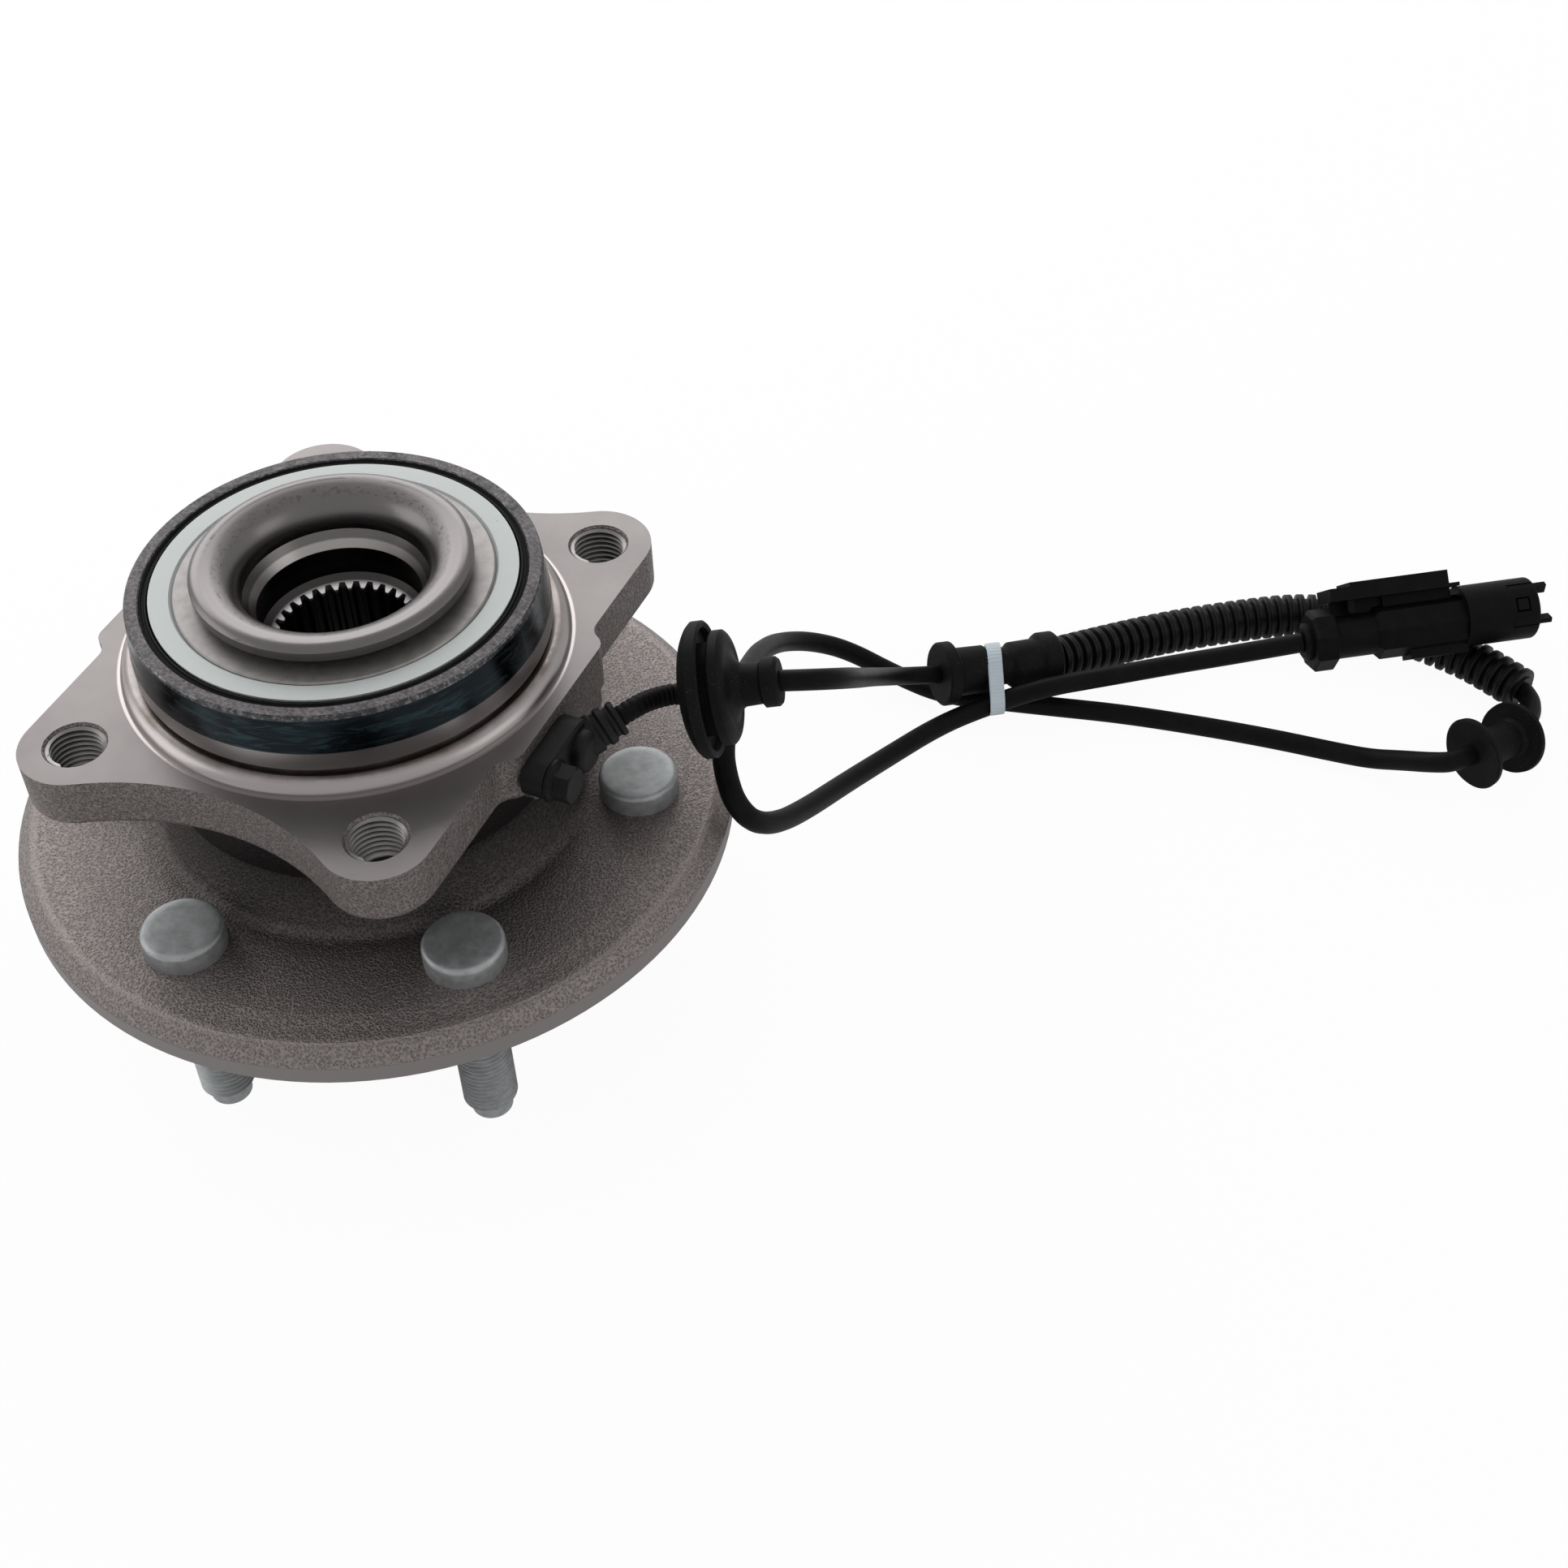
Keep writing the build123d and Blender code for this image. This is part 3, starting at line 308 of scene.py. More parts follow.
class Finish:
    """A procedural material while its nodes are being laid. Its places are in millimetres."""

    def __init__(self, name, **surface):
        self.material = bpy.data.materials.new(name)
        self.material.use_nodes = True
        self.tree = self.material.node_tree
        self.shader = self.tree.nodes["Principled BSDF"]
        self.set(**surface)
        place = self.node("ShaderNodeTexCoord", {}, {}, "Object")
        self.place = self.vector("SCALE", place, scale=1 / MM)
        self.x, self.y, self.z = self.split(self.place)
        self.up = self.split(Value(self, place.socket.node.outputs["Normal"]))[2]

    def link(self, value, socket):
        if isinstance(value, Value):
            self.tree.links.new(value.socket, socket)
        elif socket.type == "RGBA" and len(value) == 3:
            socket.default_value = (*value, 1.0)
        else:
            socket.default_value = value

    def node(self, kind, settings, sockets, output=0):
        """Adds a node: its type, its settings, then the values or links of its sockets."""
        made = self.tree.nodes.new(kind)
        for key, value in settings.items():
            setattr(made, key, value)
        for key, value in sockets.items():
            self.link(value, made.inputs[key])
        return Value(self, made.outputs[output])

    def vector(self, operation, first, second=(0, 0, 0), scale=1.0):
        sockets = {0: first, 1: second, "Scale": scale}
        return self.node("ShaderNodeVectorMath", {"operation": operation}, sockets)

    def split(self, vector):
        parts = self.node("ShaderNodeSeparateXYZ", {}, {0: vector}).socket.node.outputs
        return [Value(self, parts[axis]) for axis in "XYZ"]

    def join(self, x, y, z):
        return self.node("ShaderNodeCombineXYZ", {}, {0: x, 1: y, 2: z})

    def mix(self, first, second, share):
        """A colour between two colours."""
        settings = {"data_type": "RGBA", "clamp_factor": True}
        return self.node("ShaderNodeMix", settings, {0: share, 6: first, 7: second}, 2)

    def between(self, first, second, share):
        """A number between two numbers."""
        return self.node("ShaderNodeMix", {"data_type": "FLOAT"}, {0: share, 2: first, 3: second})

    def noise(self, scale, detail=3.0, rough=0.55, vector=None, warp=0.0):
        """Cloudy noise from 0 to 1, with its scale per millimetre."""
        sockets = {"Scale": scale, "Detail": detail, "Roughness": rough, "Distortion": warp}
        return self.node("ShaderNodeTexNoise", {}, {"Vector": vector or self.place, **sockets})

    def cells(self, scale):
        """The distance to the nearest of some scattered points."""
        return self.node("ShaderNodeTexVoronoi", {}, {"Vector": self.place, "Scale": scale})

    def radius(self):
        """The distance from the wheel axis, in millimetres."""
        return (self.x * self.x + self.y * self.y) ** 0.5

    def angle(self):
        """The angle about the wheel axis, in radians."""
        return self.x.maths("ARCTAN2", self.y, self.x)

    def turning(self):
        """Streaks that run round the wheel axis, as a lathe leaves them."""
        return self.noise(1.0, 4.0, 0.6, self.join(self.radius() * 9, self.z * 9, self.angle() * 1.2))

    def bump(self, height, distance):
        """distance is the height of a full step, in millimetres."""
        sockets = {"Height": height, "Distance": distance * MM, "Strength": 1.0}
        return self.node("ShaderNodeBump", {}, sockets)

    def set(self, **surface):
        """Sets or links the surface's sockets, with _ for a space in their names."""
        for key, value in surface.items():
            self.link(value, self.shader.inputs[key.replace("_", " ").title().replace("Ior", "IOR")])
        return self.material


def dress(node, material):
    """Gives a solid of the frame its finish."""
    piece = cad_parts[node]
    piece.data.materials.clear()
    piece.data.materials.append(material)


def piece_from(name, verts, faces, material, smooth=radians(35)):
    """A piece with its doubled vertices joined, shaded smooth except at edges past an angle."""
    mesh = bpy.data.meshes.new(name)
    mesh.from_pydata([tuple(v) for v in verts], [], faces)
    mesh.update()
    work = bmesh.new()
    work.from_mesh(mesh)
    bmesh.ops.remove_doubles(work, verts=work.verts, dist=WELD)
    bmesh.ops.dissolve_degenerate(work, edges=work.edges, dist=WELD)
    bmesh.ops.recalc_face_normals(work, faces=work.faces)
    work.to_mesh(mesh)
    work.free()
    mesh.shade_smooth()
    mesh.set_sharp_from_angle(angle=smooth)
    mesh.materials.append(material)
    made = bpy.data.objects.new(name, mesh)
    bpy.context.scene.collection.objects.link(made)
    return made


def length_of(line):
    """The length of a line of points."""
    return sum((b - a).length for a, b in zip(line, line[1:]))


def tube_about(line, rings, segments):
    """A closed tube whose (distance along, radius) rings follow a line of points."""
    lengths = [0.0]
    for a, b in zip(line, line[1:]):
        lengths.append(lengths[-1] + (b - a).length)
    verts, faces = [], []
    heading = (line[1] - line[0]).normalized()
    side = heading.orthogonal().normalized()
    k = 0
    for along, r in rings:
        while k < len(line) - 2 and lengths[k + 1] < along:
            k += 1
        share = (along - lengths[k]) / (lengths[k + 1] - lengths[k])
        share = min(max(share, 0.0), 1.0)
        centre = line[k].lerp(line[k + 1], share)
        new_heading = (line[min(k + 2, len(line) - 1)] - line[max(k - 1, 0)]).normalized()
        side = (side - new_heading * side.dot(new_heading)).normalized()
        up = new_heading.cross(side)
        for i in range(segments):
            a = 2 * pi * i / segments
            verts.append(centre + (side * cos(a) + up * sin(a)) * r)
    for ring in range(len(rings) - 1):
        for i in range(segments):
            n = (i + 1) % segments
            here, there = ring * segments, (ring + 1) * segments
            faces.append((here + i, here + n, there + n, there + i))
    faces.append(tuple(reversed(range(segments))))
    faces.append(tuple(range((len(rings) - 1) * segments, len(rings) * segments)))
    return verts, faces


def spline_curve(name, route, radius, material):
    """A round cable on a smooth spline through its route."""
    data = bpy.data.curves.new(name, "CURVE")
    data.dimensions = "3D"
    data.bevel_depth = radius
    data.bevel_resolution = 6
    data.resolution_u = 12
    data.use_fill_caps = True
    spline = data.splines.new("NURBS")
    spline.points.add(len(route) - 1)
    for point, place in zip(spline.points, route):
        point.co = (*place, 1.0)
    spline.order_u = 3
    spline.use_endpoint_u = True
    if material is not None:
        data.materials.append(material)
    made = bpy.data.objects.new(name, data)
    bpy.context.scene.collection.objects.link(made)
    return made


def centre_line(route):
    """Points along the smooth spline of a route."""
    guide = spline_curve("guide", route, 0.0, None)
    guide.data.use_fill_caps = False
    line = bpy.data.meshes.new_from_object(guide)
    points = [v.co.copy() for v in line.vertices]
    bpy.data.meshes.remove(line)
    data = guide.data
    bpy.data.objects.remove(guide)
    bpy.data.curves.remove(data)
    return points


def threaded(foot, top, pitch, root, crest):
    """Columns of (radius, height) up a threaded wall: one for each step round, and one to close it."""
    profile = ((0.0, root), (0.12, root), (0.44, crest), (0.56, crest), (0.88, root))
    columns = []
    for i in range(THREAD_STEPS + 1):
        column = [(root, foot)]
        for turn in range(-1, int((top - foot) / pitch) + 1):
            for part, r in profile:
                z = foot + (turn + part + i / THREAD_STEPS) * pitch
                column.append((r if foot < z < top else root, min(max(z, foot), top)))
        column.append((root, top))
        columns.append(column)
    return columns


def turn_columns(verts, faces, place, columns):
    """Stands the columns round an axis through a place and fills in the faces between them."""
    rows = []
    for i, column in enumerate(columns):
        a = 2 * pi * i / (len(columns) - 1)
        rows.append(range(len(verts), len(verts) + len(column)))
        verts += [place + Vector((r * cos(a), r * sin(a), z)) for r, z in column]
    for here, there in zip(rows, rows[1:]):
        for k in range(len(here) - 1):
            faces.append((here[k], here[k + 1], there[k + 1], there[k]))


def slab(verts, faces, place, low, high, edge):
    """Adds a flat block with bevelled edges between two corners, in millimetres from a place."""
    points = []
    for pick in range(8):
        corner = [(high if pick >> k & 1 else low)[k] for k in range(3)]
        inward = [-edge if pick >> k & 1 else edge for k in range(3)]
        for kept in range(3):
            points.append([c + (0 if k == kept else i) for k, (c, i) in enumerate(zip(corner, inward))])
    work = bmesh.new()
    for point in points:
        work.verts.new(place @ (Vector(point) * MM))
    bmesh.ops.convex_hull(work, input=work.verts)
    work.verts.index_update()
    start = len(verts)
    verts += [v.co.copy() for v in work.verts]
    faces += [tuple(start + v.index for v in face.verts) for face in work.faces]
    work.free()


def axes_place(origin, x_axis, z_axis):
    """The matrix of a place with these axes."""
    y_axis = z_axis.cross(x_axis)
    return Matrix.Translation(origin) @ Matrix((x_axis, y_axis, z_axis)).transposed().to_4x4()


# Finishes


def blasted_grain(finish, grain):
    """Height of the shot-blasted skin: round pits with finer grit between them."""
    pits = finish.cells(1.0 / grain)
    grit = finish.noise(1.7 / grain, 2.0)
    return pits * 0.55 + grit * 0.6


def shade(colour, share):
    """A darker or lighter version of a colour."""
    return tuple(share * c for c in colour)


def plate_finish(steel):
    """Outer ring: blasted sides with painted shade under the plate, machined top, polished bead, heat
    tint, bright band, blued band.
    """
    f = Finish("plate_and_barrel", metallic=1.0)
    r = f.radius()
    grain = blasted_grain(f, steel.grain / MM)
    lines = f.turning()
    soil = f.noise(0.05, 4.0)
    blasted = f.mix(shade(steel.blasted, 0.33), shade(steel.blasted, 1.32), grain.ramp(0.25, 0.75))
    # Painted shade on the nose of the outer ring, under the plate
    shade_under_plate = (1 - f.z.ramp(PLATE_UNDER - 1.0, PLATE_UNDER + 0.5)) * (1 - r.ramp(BEAD_R, BEAD_R + 2))
    blasted = f.mix(blasted, PAINTED_SHADE, shade_under_plate * 0.9)
    machined = f.mix(steel.machined, shade(steel.machined, 0.84), soil.ramp(0.35, 0.7))
    top = f.up.ramp(0.93, 0.985) * f.z.band(PLATE_TOP - 0.3, PLATE_TOP + 0.3)
    barrel = (1 - r.ramp(BEAD_R + 0.6, BEAD_R + 0.9)) * f.z.ramp(PLATE_TOP - 0.6, PLATE_TOP - 0.3)
    colour = f.mix(blasted, machined, top)
    colour = f.mix(colour, shade(steel.machined, 1.3), barrel)
    bead = barrel * (1 - f.z.ramp(CUT_Z - 0.4, CUT_Z))
    colour = f.mix(colour, shade(steel.machined, 1.85), bead)
    undercut = 1 - r.ramp(UNDERCUT_R - 1.0, UNDERCUT_R)
    tint = barrel * f.z.band(CUT_Z - 1.6, CUT_Z + 1.0, 0.5) * undercut
    colour = f.mix(colour, steel.tint, tint * f.noise(0.12, 3.0).ramp(0.3, 0.75) * 0.8)
    blued = barrel * f.z.ramp(BAND_TOP - 0.25, BAND_TOP + 0.1)
    strokes = f.join(f.x * 0.08, f.y * 0.08, f.z * 0.50)
    patch = f.noise(1.0, 8.0, 0.70, strokes, 0.8).ramp(0.50, 0.66)
    brown = f.noise(0.8, 6.0, 0.6, strokes, 0.9).ramp(0.36, 0.30)
    scratch = f.noise(1.0, 3.0, 0.6, f.join(f.x * 0.5, f.y * 0.5, f.z * 6), 0.4).ramp(0.69, 0.75)
    band = f.mix(steel.blued, steel.teal, patch * 0.85)
    band = f.mix(band, (0.040, 0.033, 0.031), brown * 0.7)
    band = f.mix(band, (0.11, 0.11, 0.112), scratch * 0.3)
    end_face = f.up.ramp(0.9, 0.98) * f.z.ramp(END_Z - 0.4, END_Z - 0.2)
    specks = f.noise(1.3, 5.0, 0.7).ramp(0.40, 0.66)
    band = f.mix(band, f.mix((0.045, 0.043, 0.046), (0.12, 0.11, 0.112), specks), end_face)
    corner = f.z.ramp(END_Z - 1.5, END_Z - 1.2) * (1 - end_face)
    worn = corner * f.noise(0.7, 6.0, 0.75).ramp(0.50, 0.62)
    band = f.mix(band, (0.19, 0.185, 0.187), (worn * 0.9 + corner * 0.25).ramp(0, 1))
    colour = f.mix(colour, band, blued)
    rough = f.between(0.55, 0.40, top)
    rough = f.between(rough, 0.24 + lines * 0.12, barrel)
    rough = f.between(rough, 0.17 + patch * 0.2 + end_face * 0.22 + corner * 0.15, blued)
    skin = 1 - (top + barrel).ramp(0.0, 1.0)
    height = grain * skin + lines * (1 - skin) * 0.035 + patch * blued * 0.02
    return f.set(base_color=colour, roughness=rough, normal=f.bump(height, 0.30))


def spindle_finish(steel):
    """Hub: blasted flange with painted shade towards the neck, a painted highlight on the ridge, turned
    rim, machined wheel side, polished lip and bell, painted shade in the bore and a painted highlight on
    the spline's top ends.
    """
    f = Finish("flange_and_lip", metallic=1.0)
    r = f.radius()
    grain = blasted_grain(f, steel.grain / MM)
    lines = f.turning()
    # Painted highlight on the upward face of the ridge near the rim
    crest = r.band(CREST_R - 1.4, CREST_R + 0.4, 0.5) * f.up.ramp(0.1, 0.6)
    # Painted shade: the blasted flange is painted darker towards the neck, under the plate, and darkest
    # by the neck
    shade_lifts_outward = r.ramp(NECK_TOP_R + 3, CREST_R - 2.6)
    shade_by_neck = 1 - r.ramp(NECK_TOP_R, NECK_TOP_R + 15)
    low = f.mix(shade(steel.blasted, 0.30), shade(steel.blasted, 0.48), shade_lifts_outward)
    high = f.mix(shade(steel.blasted, 1.15), shade(steel.blasted, 1.75), shade_lifts_outward)
    blasted = f.mix(low, high, grain.ramp(0.25, 0.75))
    blasted = f.mix(blasted, shade(steel.blasted, 2.0), crest * 0.5)
    blasted = f.mix(blasted, PAINTED_SHADE, shade_by_neck * 0.85)
    soil = f.noise(0.05, 4.0).ramp(0.35, 0.7)
    machined = f.mix(steel.machined, shade(steel.machined, 0.9), soil)
    rim = r.ramp(FLANGE_R - 1.3, FLANGE_R - 1.0) * (1 - f.z.ramp(FLANGE_BAND, FLANGE_BAND + 0.3))
    below = 1 - f.z.ramp(0.0, 0.4)
    inside = 1 - r.ramp(INSIDE_R - 0.4, INSIDE_R)
    cut = (rim + below + inside).ramp(0.0, 1.0)
    colour = f.mix(blasted, machined, cut)
    colour = f.mix(colour, shade(steel.machined, 1.1), rim)
    lip = inside * f.z.ramp(END_Z - 12, END_Z - 11)
    marks = f.noise(1.0, 3.0, 0.7, f.join(r * 1.6, f.angle() * 22, f.z * 0.4)).ramp(0.52, 0.70)
    scuffed = r.band(MOUTH_R + 3.2, MOUTH_R + 5.6, 0.5) * lip
    wear = scuffed * marks * 0.9 + lines * 0.15
    colour = f.mix(colour, f.mix((0.180, 0.168, 0.168), (0.075, 0.064, 0.060), wear), lip)
    step = inside * (1 - r.ramp(MOUTH_R + 0.2, MOUTH_R + 0.8)) * f.z.band(END_Z - 8.2, END_Z - 5.6, 0.2)
    colour = f.mix(colour, (0.42, 0.40, 0.39), step)
    # Painted shade on the wall of the bore
    bore_shade = inside * (1 - r.ramp(BORE_R + 0.3, BORE_R + 0.8)) * (1 - f.z.ramp(END_Z - 8, END_Z - 7.6))
    colour = f.mix(colour, (0.06, 0.056, 0.055), bore_shade)
    # Painted highlight on the top ends of the spline's teeth
    tip_highlight = (1 - r.ramp(SPLINE_TIP_R, SPLINE_ROOT_R)) * f.z.ramp(SPLINE_TOP - 1.0, SPLINE_TOP + 0.2)
    colour = f.mix(colour, (0.85, 0.83, 0.82), tip_highlight)
    rough = f.between(0.55, 0.30 + lines * 0.12 + rim * 0.18, cut)
    rough = f.between(rough, 0.22 + lines * 0.14 + scuffed * 0.12, lip)
    height = grain * (1 - cut) + lines * cut * 0.03
    return f.set(base_color=colour, roughness=rough, normal=f.bump(height, 0.30))


def ground_finish(name, base, rough=0.28):
    """Turned or ground metal with faint lines and a little soil."""
    f = Finish(name, metallic=1.0)
    lines = f.turning()
    soil = f.noise(0.3, 4.0, 0.6).ramp(0.4, 0.7)
    colour = f.mix(base, shade(base, 0.8), soil)
    return f.set(base_color=colour, roughness=rough + lines * 0.14, normal=f.bump(lines, 0.006))


def slinger_finish(steel):
    """Pale passivated zinc with small spots."""
    f = Finish("slinger_plate", metallic=0.35)
    spots = f.cells(0.16).ramp(0.02, 0.05)
    cloud = f.noise(0.25, 4.0).ramp(0.3, 0.7)
    colour = f.mix(shade(steel.slinger, 0.9), steel.slinger, cloud)
    colour = f.mix((0.12, 0.12, 0.10), colour, spots)
    return f.set(base_color=colour, roughness=0.42 + cloud * 0.08, normal=f.bump(f.noise(3.0), 0.01))


def zinc_finish(steel):
    """Dull zinc with rubbed marks and fine scratches."""
    f = Finish("dull_zinc", metallic=0.75)
    cloud = f.noise(0.35, 5.0, 0.6)
    slanted = f.join(f.x * 0.25 + f.y * 0.2, f.y * 2.4 - f.x * 2.0, f.z)
    scratch = f.noise(1.0, 2.0, 0.5, slanted).ramp(0.66, 0.7)
    colour = f.mix(shade(steel.zinc, 0.78), shade(steel.zinc, 1.12), cloud.ramp(0.3, 0.7))
    colour = f.mix(colour, shade(steel.zinc, 0.55), scratch * 0.5)
    height = cloud * 0.5 + scratch * -0.3 + f.noise(4.0, 3.0) * 0.4
    return f.set(base_color=colour, roughness=0.38 + cloud * 0.2, normal=f.bump(height, 0.03))


def moulded_finish(name, base, dust, rough, grain, scale, specks, gloss=0.08):
    """Rubber or plastic with a fine moulded grain and a little dust."""
    f = Finish(name, metallic=0.0, specular_ior_level=gloss)
    cloud = f.noise(0.18, 5.0, 0.6)
    fleck = f.noise(2.4, 3.0, 0.7).ramp(0.64, 0.72) * cloud.ramp(0.42, 0.62)
    colour = f.mix(base, shade(base, 1.7), cloud.ramp(0.35, 0.7))
    colour = f.mix(colour, dust, fleck * specks)
    height = f.noise(scale, 3.0)
    return f.set(base_color=colour, roughness=rough + cloud * 0.16, normal=f.bump(height, grain))


def tie_finish(harness):
    """Milky nylon."""
    f = Finish("tie_nylon", metallic=0.0, transmission_weight=0.15)
    f.set(subsurface_weight=0.2, subsurface_scale=0.002)
    cloud = f.noise(0.5, 3.0)
    colour = f.mix(harness.tie, shade(harness.tie, 0.9), cloud)
    return f.set(base_color=colour, roughness=0.35 + cloud * 0.1, normal=f.bump(f.noise(2.0), 0.01))


class StepOperator:
    """What the steps share: each is undone as one, and reads the scene's settings."""

    bl_options = {"REGISTER", "UNDO"}

    @property
    def steel(self):
        return bpy.context.scene.hub_steel

    @property
    def harness(self):
        return bpy.context.scene.hub_harness

    @property
    def stage(self):
        return bpy.context.scene.hub_stage

    def moulded(self, name, base, **look):
        return moulded_finish(name, base, self.harness.dust, **look)


class HUB_OT_stage(StepOperator, bpy.types.Operator):
    """Set up the camera, the floor, the lamps and the soft light all round"""

    bl_idname = "hub.stage"
    bl_label = "Stage"

    def execute(self, context):
        self.camera(context)
        self.floor()
        self.lamps()
        self.surroundings(context)
        context.scene.view_settings.view_transform = "Standard"
        return {"FINISHED"}

    def camera(self, context):
        data = bpy.data.cameras.new("camera")
        data.lens = self.stage.lens
        data.sensor_width = 36.0
        data.clip_start = 0.01
        camera = bpy.data.objects.new("camera", data)
        turn = Matrix((CAMERA_RIGHT, -CAMERA_DOWN, -CAMERA_AHEAD)).transposed().to_4x4()
        camera.matrix_world = Matrix.Translation(CAMERA_PLACE) @ turn
        context.scene.collection.objects.link(camera)
        context.scene.camera = camera

    def floor(self):
        """A pale floor under the studs, white to the camera and pale in the metal's gloss."""
        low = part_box("wheel_studs")[0][2]
        half = 3.0
        corners = [(-half, -half, low), (half, -half, low), (half, half, low), (-half, half, low)]
        f = Finish("pale_floor", base_color=self.stage.floor, roughness=0.9, specular_ior_level=0.0)
        rays = f.node("ShaderNodeLightPath", {}, {}, "Is Camera Ray")
        glossy = Value(f, rays.socket.node.outputs["Is Glossy Ray"])
        plain = f.node("ShaderNodeEmission", {}, {"Color": (1, 1, 1), "Strength": 1.0})
        lit = Value(f, f.shader.outputs[0])
        shown = f.node("ShaderNodeMixShader", {}, {0: rays * 0.95 + glossy * 0.3, 1: lit, 2: plain})
        f.tree.links.new(shown.socket, f.tree.nodes["Material Output"].inputs["Surface"])
        floor = piece_from("floor", corners, [(0, 1, 2, 3)], f.material)

    def lamps(self):
        """Each lamp's place, the place it points at, its size and its power."""
        stage = self.stage
        self.lamp("key_lamp", (-0.72, 0.88, 0.68), (0.05, 0.05, 0.03), (1.5, 0.85), stage.key_power)
        self.lamp("fill_lamp", (-0.95, -0.35, 0.45), (0.0, 0.0, 0.03), (0.8, 0.8), stage.fill_power)
        self.lamp("right_lamp", (0.95, 0.15, 0.6), (0.1, 0.05, 0.0), (0.6, 0.6), stage.right_power)

    def lamp(self, name, place, target, size, power):
        data = bpy.data.lights.new(name, "AREA")
        data.shape = "RECTANGLE"
        data.size, data.size_y = size
        data.energy = power
        lamp = bpy.data.objects.new(name, data)
        lamp.location = place
        lamp.rotation_euler = (Vector(target) - Vector(place)).to_track_quat("-Z", "Y").to_euler()
        bpy.context.scene.collection.objects.link(lamp)

    def surroundings(self, context):
        """Soft light all round, behind which the camera sees plain white."""
        world = bpy.data.worlds.new("surroundings")
        context.scene.world = world
        world.use_nodes = True
        nodes, links = world.node_tree.nodes, world.node_tree.links
        soft = nodes["Background"]
        soft.inputs["Color"].default_value = (1, 1, 1, 1)
        soft.inputs["Strength"].default_value = self.stage.ambient
        white = nodes.new("ShaderNodeBackground")
        white.inputs["Color"].default_value = (1, 1, 1, 1)
        rays = nodes.new("ShaderNodeLightPath")
        either = nodes.new("ShaderNodeMixShader")
        links.new(rays.outputs["Is Camera Ray"], either.inputs[0])
        links.new(soft.outputs[0], either.inputs[1])
        links.new(white.outputs[0], either.inputs[2])
        links.new(either.outputs[0], nodes["World Output"].inputs["Surface"])


class HUB_OT_cables(StepOperator, bpy.types.Operator):
    """Lay the cable to the sleeve, the elbow at the spool and the long loop, and tie the loop"""

    bl_idname = "hub.cables"
    bl_label = "Cables"

    def execute(self, context):
        jacket = self.moulded("cable_jacket", self.harness.jacket, rough=0.42, grain=0.015, scale=2.5,
                              specks=0.12)
        radius = self.harness.cable_radius
        thin = self.harness.lead_radius
        drop = spline_curve("cable_drop_jacket", DROP, thin, jacket)
        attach(drop, "root")
        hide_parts("cable_drop")
        elbow = spline_curve("cable_elbow_jacket", ELBOW, radius, jacket)
        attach(elbow, "root")
        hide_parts("cable_elbow")
        loop = spline_curve("cable_loop_jacket", LOOP, radius, jacket)
        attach(loop, "root")
        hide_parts("cable_loop")
        ends = [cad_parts["connector_" + part] for part in ("boot", "body", "lock", "pins", "seal")]
        ends + [self.tie()]
        return {"FINISHED"}

    def tie(self):
        """A ribbed band round the sleeve and the two cable runs below it, its head at the back."""
        centre = SLEEVE_START + SLEEVE_AXIS * (SLEEVE_LEN / 2 - 1.2 * MM)
        across = Vector((-SLEEVE_AXIS.y, SLEEVE_AXIS.x, 0)).normalized()
        place = axes_place(centre, across, SLEEVE_AXIS)
        into = place.inverted()
        circles = [(Vector((0, 0)), 6.1 * MM)]
        run = [into @ point for point in centre_line(LOOP)]
        for a, b in zip(run, run[1:]):
            if a.z * b.z < 0 and a.length < 20 * MM:
                circles.append((a.lerp(b, a.z / (a.z - b.z)).xy, self.harness.cable_radius + 0.1 * MM))
        outline = []
        for i in range(TIE_STEPS):
            a = 2 * pi * i / TIE_STEPS
            out = Vector((cos(a), sin(a)))
            middle, r = max(circles, key=lambda circle: circle[0].dot(out) + circle[1])
            outline.append((middle + out * r, out))
        lengths = [0.0]
        for (a, _), (b, _) in zip(outline, outline[1:] + outline[:1]):
            lengths.append(lengths[-1] + (b - a).length)
        lean = into.to_3x3() @ TIE_NORMAL
        verts, faces = [], []
        count = 4 * round(lengths[-1] / TIE_RIB)
        k = 0
        for i in range(count):
            along = lengths[-1] * i / count
            while lengths[k + 1] < along:
                k += 1
            (a, out_a), (b, out_b) = outline[k], outline[(k + 1) % TIE_STEPS]
            share = (along - lengths[k]) / max(lengths[k + 1] - lengths[k], WELD)
            spot, out = a.lerp(b, share), out_a.lerp(out_b, share).normalized()
            thick = 1.0 if i % 4 < 2 else 0.86
            low_side = ((0.0, -2.2), (thick - 0.25, -2.35), (thick, -2.1))
            for t, w in low_side + tuple((t, -w) for t, w in reversed(low_side)):
                p = spot + out * t * MM
                verts.append(place @ Vector((*p, w * MM - p.dot(lean.xy) / lean.z)))
        for i in range(count):
            here, there = 6 * i, 6 * ((i + 1) % count)
            faces += [(here + j, here + (j + 1) % 6, there + (j + 1) % 6, there + j) for j in range(6)]
        out = Vector((cos(TIE_BACK), sin(TIE_BACK)))
        spot = out * (max(middle.dot(out) + r for middle, r in circles) + 1.0 * MM)
        back = (place.to_3x3() @ out.to_3d()).normalized()
        head = axes_place(place @ Vector((*spot, -spot.dot(lean.xy) / lean.z)), back, SLEEVE_AXIS)
        slab(verts, faces, head, (-0.3, -3.0, -3.0), (3.6, 3.0, 3.0), 0.5)
        tie = piece_from("cable_tie_ribbed", verts, faces, tie_finish(self.harness), radians(30))
        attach(tie, "root")
        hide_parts("cable_tie")
        return tie


